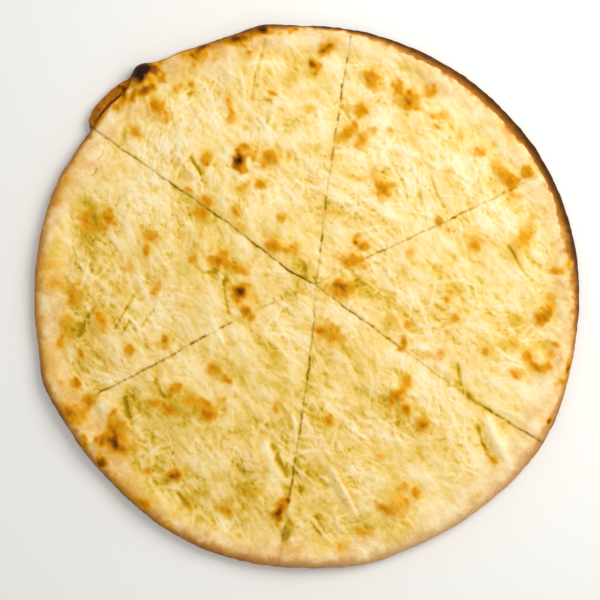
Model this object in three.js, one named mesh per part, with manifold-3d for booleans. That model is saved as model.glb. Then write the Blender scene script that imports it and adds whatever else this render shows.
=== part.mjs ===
// A round, flat cheese focaccia, baked as one loaf and cut into six slices that still lie together.
// Millimetres, +Z up. The flat underside is at z = 0 and the origin is under the middle of the loaf.
import * as THREE from "three";
import { mergeVertices } from "three/addons/utils/BufferGeometryUtils.js";
import Module from "manifold-3d";

// Loaf
const LOAF_RADIUS = 161;
const CENTRE_THICKNESS = 7.5;
const RIM_RISE = 3;
const RIM_BAND = 14;

// Crust edge: how far the crest and the foot lie inside the widest line, and how high that line is
const CREST_INSET = 7;
const FOOT_INSET = 4.5;
const WAIST_HEIGHT = 4.2;

// Where the edge spread or drew in while it baked, as [degrees, outward reach, spread in degrees]
const OUTLINE_BULGES = [
  [0, 1.2, 10],
  [99, 2.4, 4.5],
  [121, 2.8, 7],
  [126.3, 6.9, 3.2],
  [136.5, 1.4, 5],
  [158, 1.4, 9],
  [199, 2.6, 6],
  [225, -1.6, 12],
  [283, 2, 7],
  [304, 1.5, 14],
  [328, 4.2, 15],
];

// Lumps along the rim, as [lumps around the loaf, phase, share of the rim's rise]
const RIM_LUMPS = [
  [7, 0.8, 0.16],
  [12, 2.1, 0.14],
  [19, 0.3, 0.1],
];

// Side where the crust falls to its widest line in a straight slope, and the crest lies further in
const LONG_SLOPE = { degrees: 42, extraInset: 1.5, spread: 30 };

// Torn lip of crust that stands out below the top, with a slit behind it
const LIP = { from: 129, to: 141.8, fadeIn: 1.5, fadeOut: 1 };
const LIP_PROFILE = [
  [4.5, 0.98],
  [2.0, 0.92],
  [0.6, 0.8],
  [-0.2, 0.45],
  [-2.8, 0.68],
  [-5.8, 0.56],
  [-5.4, 0.2],
  [-2.6, 0],
];

// Blisters and folds that rose in the oven, as [x, y, length, width, turn in degrees, rise]
const BLISTERS = [
  // upper left slice, with the burnt blister at its edge
  [-95, 128, 22, 17, 50, 4.2],
  [-88, 112, 15, 14, 0, 1.6],
  [-64, 145, 17, 13, 25, 1.3],
  [-34, 154, 28, 11, 15, 1.4],
  [-38, 80, 16, 14, 70, 1.6],
  [-18, 81, 15, 13, 0, 1.2],
  [-16, 30, 16, 14, 0, 1.4],
  // upper right slice
  [38, 129, 18, 12, -45, 1.4],
  [60, 117, 20, 15, 0, 1.6],
  [118, 73, 22, 14, -40, 1.6],
  [45, 67, 18, 13, -35, 1.3],
  [28, 22, 16, 14, 0, 1.4],
  // left slice
  [-142, -14, 17, 19, 0, 1.5],
  [-123, -14, 14, 19, 0, 1.5],
  [-62, 32, 24, 28, 0, 1.4],
  [-38, 3, 13, 13, 0, 2],
  // lower left slice
  [-112, -83, 19, 25, 0, 2.2],
  [-119, -64, 28, 15, -45, 1.8],
  [-26, -97, 32, 30, 0, 2.8],
  [-66, -66, 30, 14, -10, 1.4],
  [-78, -106, 15, 13, 0, 1.4],
  // lower right slice
  [22, -114, 40, 12, -64, 1.6],
  [113, -84, 30, 13, -65, 1.8],
  [52, -123, 21, 21, 0, 1.5],
  [54, -57, 19, 16, 0, 1.4],
  [69, -74, 14, 13, 0, 1.3],
  // right slice
  [126, 27, 26, 15, 65, 1.6],
  [141, -10, 14, 19, -30, 1.5],
  [138, -37, 20, 14, -60, 1.4],
  [22, 6, 15, 13, 0, 1.4],
];

// Slow waves of the dough, as [wavelength along x, wavelength along y, phase, height]
const WAVES = [
  [71, 83, 0.6, 0.45],
  [-47, 58, 1.9, 0.35],
  [34, -41, 3.1, 0.22],
];

// Knife cuts from one crossing point to the edge, anticlockwise from the right: the direction of each in degrees,
// and how far to the left of a straight line it lies at even steps from the crossing point to the edge
const KERF = 0.7;
const CUT_CENTRE = new THREE.Vector2(5.8, 7);
const CUT_STEPS = 8;
const CUTS = [
  [25.9, [0, 1.6, 1.1, 0.7, 0.3, 0.3, 0.3, 0.3, 0.3]],
  [81.7, [0, -0.2, 0.7, 1.1, 1.1, 1, 1.1, 0.5, 0]],
  [145.1, [0, 1.9, 0.6, -0.4, -0.6, -0.6, -0.7, -0.7, -0.8]],
  [206.6, [0, -1.8, -2.4, -2.4, -1.9, -0.7, -0.3, -0.3, -0.3]],
  [263.4, [0, 1.6, 1.8, 1.5, 0.9, 0.1, -0.6, -1.4, -2.2]],
  [324.9, [0, -0.6, -0.8, -1.1, -1.6, -1.9, -1.7, -0.6, 1.1]],
];
const CUT_OVERRUN = 100;
const CUT_BELOW = 5;
const CUT_HEIGHT = 40;

// Shreds of melted cheese that lie on the top, spread evenly by the golden angle
const SHRED_COUNT = 66;
const SHRED_FIELD_RADIUS = 143;
const SHRED_LENGTH = 17;
const SHRED_RADIUS = 1.3;
const SHRED_FLATNESS = 0.75;
const SHRED_BEND = 3;
const SHRED_CUT_CLEARANCE = 4;
const GOLDEN_ANGLE = Math.PI * (3 - Math.sqrt(5));

// Facets
const TOP_RINGS = 26;
const CORNERS = 6;
const UPPER_EDGE_STEPS = 5;
const LOWER_EDGE_STEPS = 3;
const SHRED_SIDES = 6;
const SHRED_STEPS = 3;

// Baked colours of the six slices
const CRUST_ROUGHNESS = 0.7;
const SLICE_COLOURS = [0xf8dd95, 0xf4d284, 0xe8c06a, 0xdfb45c, 0xedcb7c, 0xf6d686];

const radians = THREE.MathUtils.degToRad;
const smoothstep = THREE.MathUtils.smoothstep;

const wasm = await Module();
wasm.setup();

// Signed turn from one direction to another, in degrees between -180 and 180
function turnBetween(from, to) {
  return THREE.MathUtils.euclideanModulo(to - from + 180, 360) - 180;
}

function bell(distance, spread) {
  return Math.exp(-((distance / spread) ** 2));
}

// Distance from the origin to the widest line of the crust
function outlineRadius(degrees) {
  let radius = LOAF_RADIUS;
  for (const [middle, reach, spread] of OUTLINE_BULGES) {
    radius += reach * bell(turnBetween(middle, degrees), spread);
  }
  return radius;
}

// How much of the straight slope there is at a direction, from 0 to 1
function slopeShare(degrees) {
  return bell(turnBetween(LONG_SLOPE.degrees, degrees), LONG_SLOPE.spread);
}

// How far inside the widest line the crest of the rim lies
function crestInset(degrees) {
  return CREST_INSET + LONG_SLOPE.extraInset * slopeShare(degrees);
}

// Height of the rim's crest over the middle of the loaf
function rimRise(degrees) {
  let share = 1;
  for (const [count, phase, lump] of RIM_LUMPS) {
    share += lump * Math.sin(count * radians(degrees) + phase);
  }
  return RIM_RISE * share;
}

// How much of the lip there is at a direction, from 0 to 1
function lipShare(degrees) {
  const rise = smoothstep(degrees, LIP.from - LIP.fadeIn, LIP.from + LIP.fadeIn);
  const fall = smoothstep(degrees, LIP.to - LIP.fadeOut, LIP.to + LIP.fadeOut);
  return rise * (1 - fall);
}

function blisterHeight(x, y) {
  let height = 0;
  for (const [middleX, middleY, length, width, turn, rise] of BLISTERS) {
    const offset = new THREE.Vector2(x - middleX, y - middleY);
    offset.rotateAround(new THREE.Vector2(), radians(-turn));
    const spread = (offset.x / (length / 2)) ** 2 + (offset.y / (width / 2)) ** 2;
    height += rise * Math.max(0, 1 - spread) ** 2;
  }
  return height;
}

function waveHeight(x, y) {
  let height = 0;
  for (const [lengthX, lengthY, phase, rise] of WAVES) {
    height += rise * Math.sin(2 * Math.PI * (x / lengthX + y / lengthY) + phase);
  }
  return height;
}

// Height of the baked top over the underside
function topHeight(x, y) {
  const degrees = THREE.MathUtils.radToDeg(Math.atan2(y, x));
  const inwards = outlineRadius(degrees) - Math.hypot(x, y) - crestInset(degrees);
  const rim = rimRise(degrees) * (1 - smoothstep(inwards, 0, RIM_BAND));
  return CENTRE_THICKNESS + rim + waveHeight(x, y) + blisterHeight(x, y);
}

// The edge from below the crest to the foot, as [inset, height] pairs.
// It is two quarter ellipses, with the straight slope and the lip mixed in where they are.
function edgeProfile(degrees, crestHeight) {
  const inset = crestInset(degrees);
  const slope = slopeShare(degrees);
  const profile = [];
  for (let step = 1; step <= UPPER_EDGE_STEPS; step++) {
    const share = step / UPPER_EDGE_STEPS;
    const angle = share * (Math.PI / 2);
    const inwards = THREE.MathUtils.lerp(1 - Math.sin(angle), 1 - share, slope);
    const upwards = THREE.MathUtils.lerp(Math.cos(angle), 1 - share, slope);
    profile.push([inset * inwards, WAIST_HEIGHT + (crestHeight - WAIST_HEIGHT) * upwards]);
  }
  for (let step = 1; step <= LOWER_EDGE_STEPS; step++) {
    const angle = (step / LOWER_EDGE_STEPS) * (Math.PI / 2);
    profile.push([FOOT_INSET * (1 - Math.cos(angle)), WAIST_HEIGHT * (1 - Math.sin(angle))]);
  }
  const share = lipShare(degrees);
  return profile.map(([plainInset, plainHeight], index) => {
    const [lipInset, lipHeight] = LIP_PROFILE[index];
    return [
      THREE.MathUtils.lerp(plainInset, lipInset, share),
      THREE.MathUtils.lerp(plainHeight, lipHeight * crestHeight, share),
    ];
  });
}

// The uncut loaf: a top of rings in which ring n has 6n points, the rounded edge, and a flat underside
function loafGeometry() {
  const positions = [0, 0, topHeight(0, 0)];
  const faces = [];
  const ringStart = (ring) => (ring === 0 ? 0 : 1 + (CORNERS * ring * (ring - 1)) / 2);
  const ringPoint = (ring, index) => ringStart(ring) + (ring === 0 ? 0 : index % (CORNERS * ring));

  for (let ring = 1; ring <= TOP_RINGS; ring++) {
    for (let index = 0; index < CORNERS * ring; index++) {
      const degrees = (360 * index) / (CORNERS * ring);
      const radius = (outlineRadius(degrees) - crestInset(degrees)) * (ring / TOP_RINGS);
      const x = radius * Math.cos(radians(degrees));
      const y = radius * Math.sin(radians(degrees));
      positions.push(x, y, topHeight(x, y));
    }
    for (let corner = 0; corner < CORNERS; corner++) {
      for (let step = 0; step < ring; step++) {
        const outer = corner * ring + step;
        const inner = corner * (ring - 1) + step;
        faces.push(ringPoint(ring, outer), ringPoint(ring, outer + 1), ringPoint(ring - 1, inner));
        if (step < ring - 1) {
          faces.push(ringPoint(ring - 1, inner), ringPoint(ring, outer + 1), ringPoint(ring - 1, inner + 1));
        }
      }
    }
  }

  const edgePoints = CORNERS * TOP_RINGS;
  const edgeSteps = UPPER_EDGE_STEPS + LOWER_EDGE_STEPS;
  const crestStart = ringStart(TOP_RINGS);
  const edgePoint = (step, index) => crestStart + step * edgePoints + (index % edgePoints);
  const profiles = [];
  for (let index = 0; index < edgePoints; index++) {
    const crestHeight = positions[3 * (crestStart + index) + 2];
    profiles.push(edgeProfile((360 * index) / edgePoints, crestHeight));
  }
  for (let step = 1; step <= edgeSteps; step++) {
    for (let index = 0; index < edgePoints; index++) {
      const degrees = (360 * index) / edgePoints;
      const [inset, height] = profiles[index][step - 1];
      const radius = outlineRadius(degrees) - inset;
      positions.push(radius * Math.cos(radians(degrees)), radius * Math.sin(radians(degrees)), height);
      faces.push(edgePoint(step - 1, index), edgePoint(step, index), edgePoint(step, index + 1));
      faces.push(edgePoint(step - 1, index), edgePoint(step, index + 1), edgePoint(step - 1, index + 1));
    }
  }

  const footStart = edgePoint(edgeSteps, 0);
  const foot = [];
  for (let index = 0; index < edgePoints; index++) {
    foot.push(new THREE.Vector2(positions[3 * (footStart + index)], positions[3 * (footStart + index) + 1]));
  }
  for (const [first, second, third] of THREE.ShapeUtils.triangulateShape(foot, [])) {
    faces.push(footStart + first, footStart + third, footStart + second);
  }

  const geometry = new THREE.BufferGeometry();
  geometry.setAttribute("position", new THREE.Float32BufferAttribute(positions, 3));
  geometry.setIndex(faces);
  return geometry;
}

function direction(degrees) {
  return new THREE.Vector2(Math.cos(radians(degrees)), Math.sin(radians(degrees)));
}

// How far to the left of its straight line a cut runs, at a distance from the crossing point
function cutOffset(wander, run) {
  const place = CUT_STEPS * THREE.MathUtils.clamp(run / LOAF_RADIUS, 0, 1);
  const step = Math.min(Math.floor(place), CUT_STEPS - 1);
  return THREE.MathUtils.lerp(wander[step], wander[step + 1], place - step);
}

// Points along a cut from near the crossing point to outside the loaf, moved sideways to the left
function cutPoints([degrees, wander], sideways) {
  const along = direction(degrees);
  const left = direction(degrees + 90);
  const points = [];
  for (let step = 1; step <= CUT_STEPS + 1; step++) {
    const run = step <= CUT_STEPS ? (LOAF_RADIUS * step) / CUT_STEPS : LOAF_RADIUS + CUT_OVERRUN;
    const point = CUT_CENTRE.clone().addScaledVector(along, run);
    points.push(point.addScaledVector(left, cutOffset(wander, run) + sideways));
  }
  return points;
}

// The wedge of space that one slice takes up, half a kerf clear of both of its cuts
function wedgeGeometry(from, to) {
  const opening = THREE.MathUtils.euclideanModulo(to[0] - from[0], 360);
  const middle = direction(from[0] + opening / 2);
  const tip = CUT_CENTRE.clone().addScaledVector(middle, KERF / 2 / Math.sin(radians(opening / 2)));
  const outline = new THREE.Shape([tip, ...cutPoints(from, KERF / 2), ...cutPoints(to, -KERF / 2).reverse()]);
  const geometry = new THREE.ExtrudeGeometry(outline, { depth: CUT_HEIGHT, bevelEnabled: false });
  return geometry.translate(0, 0, -CUT_BELOW);
}

// A number from 0 to 1 that is always the same for one shred and one use
function fixedDraw(shred, use) {
  const value = Math.sin(shred * 12.9898 + use * 78.233) * 43758.5453;
  return value - Math.floor(value);
}

// One flattened shred, bent sideways and laid along the top
function shredGeometry(shred, middle) {
  const length = SHRED_LENGTH * (0.7 + 0.6 * fixedDraw(shred, 1));
  const turn = Math.PI * fixedDraw(shred, 2);
  const bend = SHRED_BEND * (2 * fixedDraw(shred, 3) - 1);
  const along = new THREE.Vector2(Math.cos(turn), Math.sin(turn));
  const across = new THREE.Vector2(along.y, -along.x);
  const geometry = new THREE.CapsuleGeometry(SHRED_RADIUS, length, 1, SHRED_SIDES, SHRED_STEPS);
  const points = geometry.getAttribute("position");
  for (let index = 0; index < points.count; index++) {
    const run = points.getY(index);
    const sideways = bend * (run / (length / 2)) ** 2;
    const spine = middle.clone().addScaledVector(along, run).addScaledVector(across, sideways);
    const place = spine.clone().addScaledVector(across, points.getX(index));
    const height = topHeight(spine.x, spine.y) + SHRED_FLATNESS * points.getZ(index);
    points.setXYZ(index, place.x, place.y, height);
  }
  return geometry;
}

// Distance from a point to the nearest cut
function cutDistance(x, y) {
  const fromCentre = new THREE.Vector2(x, y).sub(CUT_CENTRE);
  const distances = CUTS.map(([degrees, wander]) => {
    const along = direction(degrees);
    const run = along.dot(fromCentre);
    return run > 0 ? Math.abs(along.cross(fromCentre) - cutOffset(wander, run)) : fromCentre.length();
  });
  return Math.min(...distances);
}

// Which slice a point belongs to
function sliceAt(x, y) {
  const degrees = THREE.MathUtils.radToDeg(Math.atan2(y - CUT_CENTRE.y, x - CUT_CENTRE.x));
  const openings = CUTS.map(([cut]) => THREE.MathUtils.euclideanModulo(degrees - cut, 360));
  return openings.indexOf(Math.min(...openings));
}

function solidFrom(geometry) {
  geometry.deleteAttribute("normal");
  geometry.deleteAttribute("uv");
  const merged = mergeVertices(geometry);
  const vertProperties = new Float32Array(merged.getAttribute("position").array);
  const triVerts = new Uint32Array(merged.getIndex().array);
  return new wasm.Manifold(new wasm.Mesh({ numProp: 3, vertProperties, triVerts }));
}

function geometryFrom(solid) {
  const mesh = solid.getMesh();
  const geometry = new THREE.BufferGeometry();
  geometry.setAttribute("position", new THREE.Float32BufferAttribute(mesh.vertProperties, 3));
  geometry.setIndex(new THREE.Uint32BufferAttribute(mesh.triVerts, 1));
  geometry.computeVertexNormals();
  return geometry;
}

// The loaf is cut into slices
const loaf = solidFrom(loafGeometry());
const slices = CUTS.map((from, index) => {
  const to = CUTS[(index + 1) % CUTS.length];
  return loaf.intersect(solidFrom(wedgeGeometry(from, to)));
});

// Shreds that lie clear of the cuts are joined to the slice under them
for (let shred = 0; shred < SHRED_COUNT; shred++) {
  const radius = SHRED_FIELD_RADIUS * Math.sqrt((shred + 0.5) / SHRED_COUNT);
  const middle = new THREE.Vector2(radius, 0).rotateAround(new THREE.Vector2(), shred * GOLDEN_ANGLE);
  const geometry = shredGeometry(shred, middle);
  const points = geometry.getAttribute("position");
  let clearance = Infinity;
  for (let index = 0; index < points.count; index++) {
    clearance = Math.min(clearance, cutDistance(points.getX(index), points.getY(index)));
  }
  if (clearance > SHRED_CUT_CLEARANCE) {
    const slice = sliceAt(middle.x, middle.y);
    slices[slice] = slices[slice].add(solidFrom(geometry));
  }
}

const focaccia = new THREE.Group();
slices.forEach((solid, index) => {
  const crust = new THREE.MeshStandardMaterial({
    color: SLICE_COLOURS[index],
    roughness: CRUST_ROUGHNESS,
    metalness: 0,
  });
  const slice = new THREE.Mesh(geometryFrom(solid), crust);
  slice.name = `slice_${index + 1}`;
  focaccia.add(slice);
});

export default focaccia;
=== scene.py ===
import math

import bpy
import numpy as np
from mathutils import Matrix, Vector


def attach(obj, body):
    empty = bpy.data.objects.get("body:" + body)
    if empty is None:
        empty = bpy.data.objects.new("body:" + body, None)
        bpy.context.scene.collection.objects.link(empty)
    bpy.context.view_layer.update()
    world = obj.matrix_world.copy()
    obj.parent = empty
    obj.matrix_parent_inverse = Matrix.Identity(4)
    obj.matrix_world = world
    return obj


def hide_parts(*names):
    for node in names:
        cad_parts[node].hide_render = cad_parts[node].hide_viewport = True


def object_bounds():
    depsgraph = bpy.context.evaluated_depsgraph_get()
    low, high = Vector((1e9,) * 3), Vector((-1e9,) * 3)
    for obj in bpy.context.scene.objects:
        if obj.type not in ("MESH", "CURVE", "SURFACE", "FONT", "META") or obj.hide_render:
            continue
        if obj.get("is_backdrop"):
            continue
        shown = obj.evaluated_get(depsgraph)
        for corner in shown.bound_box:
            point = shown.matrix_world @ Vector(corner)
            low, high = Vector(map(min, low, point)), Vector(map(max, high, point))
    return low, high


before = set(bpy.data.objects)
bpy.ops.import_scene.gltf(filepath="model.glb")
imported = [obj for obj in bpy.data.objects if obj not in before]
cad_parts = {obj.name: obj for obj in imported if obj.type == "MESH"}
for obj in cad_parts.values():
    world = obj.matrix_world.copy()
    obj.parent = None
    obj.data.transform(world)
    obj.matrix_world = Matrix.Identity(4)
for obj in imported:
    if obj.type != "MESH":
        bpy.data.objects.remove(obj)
cad_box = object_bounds()

# Places and sizes are millimetres in the loaf's frame: origin under its middle, +Z up
MM = 0.001

# The loaf, with the sizes that its solids have
LOAF_RADIUS = 161.0
CENTRE_THICKNESS = 7.5
RIM_RISE = 3.0
RIM_BAND = 14.0
CREST_INSET = 7.0
FOOT_INSET = 4.5
WAIST_HEIGHT = 4.2

# Where the edge spread or drew in while it baked: degrees, outward reach, spread in degrees
OUTLINE_BULGES = (
    (16, 2.0, 30),
    (99, 2.4, 4.5),
    (121, 2.8, 7),
    (126.3, 6.9, 3.2),
    (136.5, 1.4, 5),
    (158, 1.4, 9),
    (199, 2.6, 6),
    (225, -1.6, 12),
    (283, 2.0, 7),
    (304, 1.5, 14),
    (328, 4.2, 15),
)

# Lumps along the rim: lumps around the loaf, phase, share of the rim's rise
RIM_LUMPS = ((7, 0.8, 0.16), (12, 2.1, 0.14), (19, 0.3, 0.10))

# Side where the crust falls in a straight slope: degrees, extra inset of the crest, spread in degrees
SLOPE_DEGREES = 42
SLOPE_EXTRA_INSET = 1.5
SLOPE_SPREAD = 30

# Torn lip below the top: its ends in degrees, how fast it fades at each end, its section as inset and share
# of the crest's height, the inset of its foot, and the length of mesh that it takes up
LIP_FROM = 129.0
LIP_TO = 141.8
LIP_FADE_IN = 1.5
LIP_FADE_OUT = 1.0
LIP_UPPER = ((4.5, 0.98), (2.4, 0.94), (1.0, 0.86), (0.5, 0.40), (-0.6, 0.40), (-1.0, 0.66),
             (-3.4, 0.68), (-5.2, 0.62), (-5.9, 0.45))
LIP_FOOT_INSET = -2.6
LIP_LENGTH = 8.0

# How deep the slit behind the lip is along its length, and its height at a shallow place: degrees, share
LIP_SLIT = ((129, 0.0), (132.6, 0.3), (133.6, 1.0), (137.5, 1.0), (139.5, 0.4), (141.5, 0.0))
SHALLOW_SLIT = 0.66

# How much of its full reach the lip has along its length: degrees, share
LIP_REACH = ((127, 0.2), (129.5, 0.55), (131, 0.95), (133.5, 1.08), (139, 1.0), (140.4, 0.83), (142, 0.7))

# Large blisters and folds, as the solids have them: x, y, length, width, turn in degrees, rise
BLISTERS = (
    (-95, 128, 22, 17, 50, 4.2), (-88, 112, 15, 14, 0, 1.6), (-64, 145, 17, 13, 25, 1.3),
    (-34, 154, 28, 11, 15, 1.4), (-38, 80, 16, 14, 70, 1.6), (-18, 81, 15, 13, 0, 1.2),
    (-16, 30, 16, 14, 0, 1.4), (38, 129, 18, 12, -45, 1.4), (60, 117, 20, 15, 0, 1.6),
    (118, 73, 22, 14, -40, 1.6), (45, 67, 18, 13, -35, 1.3), (28, 22, 16, 14, 0, 1.4),
    (-142, -14, 17, 19, 0, 1.5), (-123, -14, 14, 19, 0, 1.5), (-62, 32, 24, 28, 0, 1.4),
    (-38, 3, 13, 13, 0, 2.0), (-112, -83, 19, 25, 0, 2.2), (-119, -64, 28, 15, -45, 1.8),
    (-26, -97, 32, 30, 0, 2.8), (-66, -66, 30, 14, -10, 1.4), (-78, -106, 15, 13, 0, 1.4),
    (22, -114, 40, 12, -64, 1.6), (113, -84, 30, 13, -65, 1.8), (52, -123, 21, 21, 0, 1.5),
    (54, -57, 19, 16, 0, 1.4), (69, -74, 14, 13, 0, 1.3), (126, 27, 26, 15, 65, 1.6),
    (141, -10, 14, 19, -30, 1.5), (138, -37, 20, 14, -60, 1.4), (22, 6, 15, 13, 0, 1.4),
)

# Slow waves of the dough: wavelength along x, wavelength along y, phase, height
WAVES = ((71, 83, 0.6, 0.45), (-47, 58, 1.9, 0.35), (34, -41, 3.1, 0.22))

# Knife cuts from one crossing point, anticlockwise from the right: direction in degrees, and how far left
# of a straight line each lies at even steps from the crossing point to the edge
CUT_CENTRE = (5.8, 7.0)
CUT_STEPS = 8
CUTS = (
    (25.9, (0, 1.6, 1.1, 0.7, 0.3, 0.3, 0.3, 0.3, 0.3)),
    (81.7, (0, -0.2, 0.7, 1.1, 1.1, 1.0, 1.1, 0.5, 0)),
    (145.1, (0, 1.9, 0.6, -0.4, -0.6, -0.6, -0.7, -0.7, -0.8)),
    (206.6, (0, -1.8, -2.4, -2.4, -1.9, -0.7, -0.3, -0.3, -0.3)),
    (263.4, (0, 1.6, 1.8, 1.5, 0.9, 0.1, -0.6, -1.4, -2.2)),
    (324.9, (0, -0.6, -0.8, -1.1, -1.6, -1.9, -1.7, -0.6, 1.1)),
)

# Wander of the cuts to either side: length of a wave, how far it goes, then the change of phase from cut to
# cut and from wave to wave, and the run over which the wander sets in
CUT_WANDER = ((31, 0.15), (13.7, 0.18), (6.1, 0.09), (3.3, 0.05))
WANDER_PHASES = (2.4, 1.7)
WANDER_START = 12

# How wide each cut gapes along its run: distance from the crossing, width
CUT_GAPES = (
    ((0, 0.12), (18, 0.15), (22, 0.05), (32, 0.05), (34, 0.25), (38, 0.2), (42, 0.4), (48, 0.4), (50, 0.15),
     (53, 0.3), (56, 0.12), (62, 0.25), (66, 0.15), (72, 0.3), (80, 0.25), (88, 0.15), (91, 0.45),
     (94, 0.25), (105, 0.3), (110, 0.15), (114, 0.25), (126, 0.15), (130, 0.3), (134, 0.1), (160, 0.05)),
    ((0, 0.2), (13, 0.1), (19, 0.15), (20.5, 0.6), (24, 0.5), (25, 0.1), (26.5, 0.6), (31, 0.5),
     (32.5, 0.08), (44, 0.1), (46, 0.5), (52, 0.6), (53.5, 0.1), (60, 0.25), (62, 0.08), (74, 0.1),
     (75.5, 0.5), (81, 0.5), (82, 0.06), (86, 0.08), (88, 0.4), (93, 0.4), (94.5, 0.06), (97.5, 0.08),
     (98.6, 0.4), (102, 0.4), (103.5, 0.06), (110, 0.08), (111.7, 0.7), (119.5, 0.8), (120.5, 0.25),
     (127, 0.25), (128.5, 0.05), (132, 0.05), (133, 0.4), (135, 0.4), (136, 0.05), (141, 0.05),
     (142.5, 0.3), (150, 0.3), (160, 0.2)),
    ((0, 0.3), (6, 0.4), (9, 1.4), (22, 1.4), (25, 0.5), (33, 0.45), (35, 0.7), (38, 0.4), (41, 0.75),
     (45, 0.6), (48, 0.35), (75, 0.38), (95, 0.3), (99, 0.5), (104, 0.45), (107, 0.3), (128, 0.3),
     (133, 0.4), (140, 0.3), (152, 0.42), (160, 0.45)),
    ((0, 0.04), (25, 0.05), (27, 0.25), (32, 0.2), (34, 0.04), (54, 0.04), (55, 0.4), (62, 0.45), (63, 0.1),
     (69, 0.1), (70.5, 0.5), (75, 0.4), (76, 0.2), (78, 0.5), (81, 0.45), (83, 0.1), (88, 0.1), (89.5, 0.7),
     (92, 0.6), (94, 0.3), (96, 0.4), (100, 0.3), (106, 0.35), (112, 0.3), (122, 0.4), (134, 0.25),
     (137, 0.45), (143, 0.45), (145, 0.1), (160, 0.05)),
    ((0, 0.2), (10, 0.1), (15, 0.3), (20, 0.15), (23, 0.3), (30, 0.3), (34, 0.35), (38, 0.2), (42, 0.42),
     (54, 0.4), (57, 0.2), (63, 0.2), (66, 0.32), (72, 0.2), (76, 0.35), (82, 0.35), (90, 0.25), (97, 0.15),
     (104, 0.3), (112, 0.3), (116, 0.35), (128, 0.35), (134, 0.12), (160, 0.15)),
    ((0, 0.25), (8, 0.3), (18, 0.35), (20, 0.55), (33, 0.5), (35, 0.3), (40, 0.5), (44, 0.3), (60, 0.3),
     (66, 0.15), (80, 0.2), (92, 0.15), (98, 0.1), (122, 0.12), (126, 0.5), (138, 0.45), (146, 0.3),
     (152, 0.5), (160, 0.5)),
)

# Dashes in which the cuts open and shut: length of a wave and its change of phase from cut to cut, then
# the strength of the long and the short ones, and how much they change the width
LONG_DASHES = ((11, 1.0), (17, 2.1))
SHORT_DASHES = (4.1, 1.3)
LONG_STRENGTH = 1.2
SHORT_STRENGTH = 0.5
DASH_SHARE = 0.45

# Gaps between the slices: share of the width that stays open, share of that at the foot, the narrowest gap,
# and the width at which a cut shows in full
OPEN_SHARE = 0.22
GAPE_AT_FOOT = 0.2
NARROWEST_GAPE = 0.03
WIDE_GAPE = 0.6

# Marks that a cut leaves on both sides: spread, amount where it is shut, further amount where it gapes
# The groove and dip are relief; the darker tone and the line's colour are partly the cut's oily brown edge,
# partly painted shade in its gap
CUT_GROOVE = (0.9, 0.05, 0.3)
CUT_DIP = (4.0, 0.2, 0.0)
CUT_SHADE = (1.5, 0.05, 0.0)
CUT_GAP_SHADE = (0.75, 0.0, 0.3)
CUT_LINE_AND_SHADE = (0.55, 0.0, 0.8)

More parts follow.
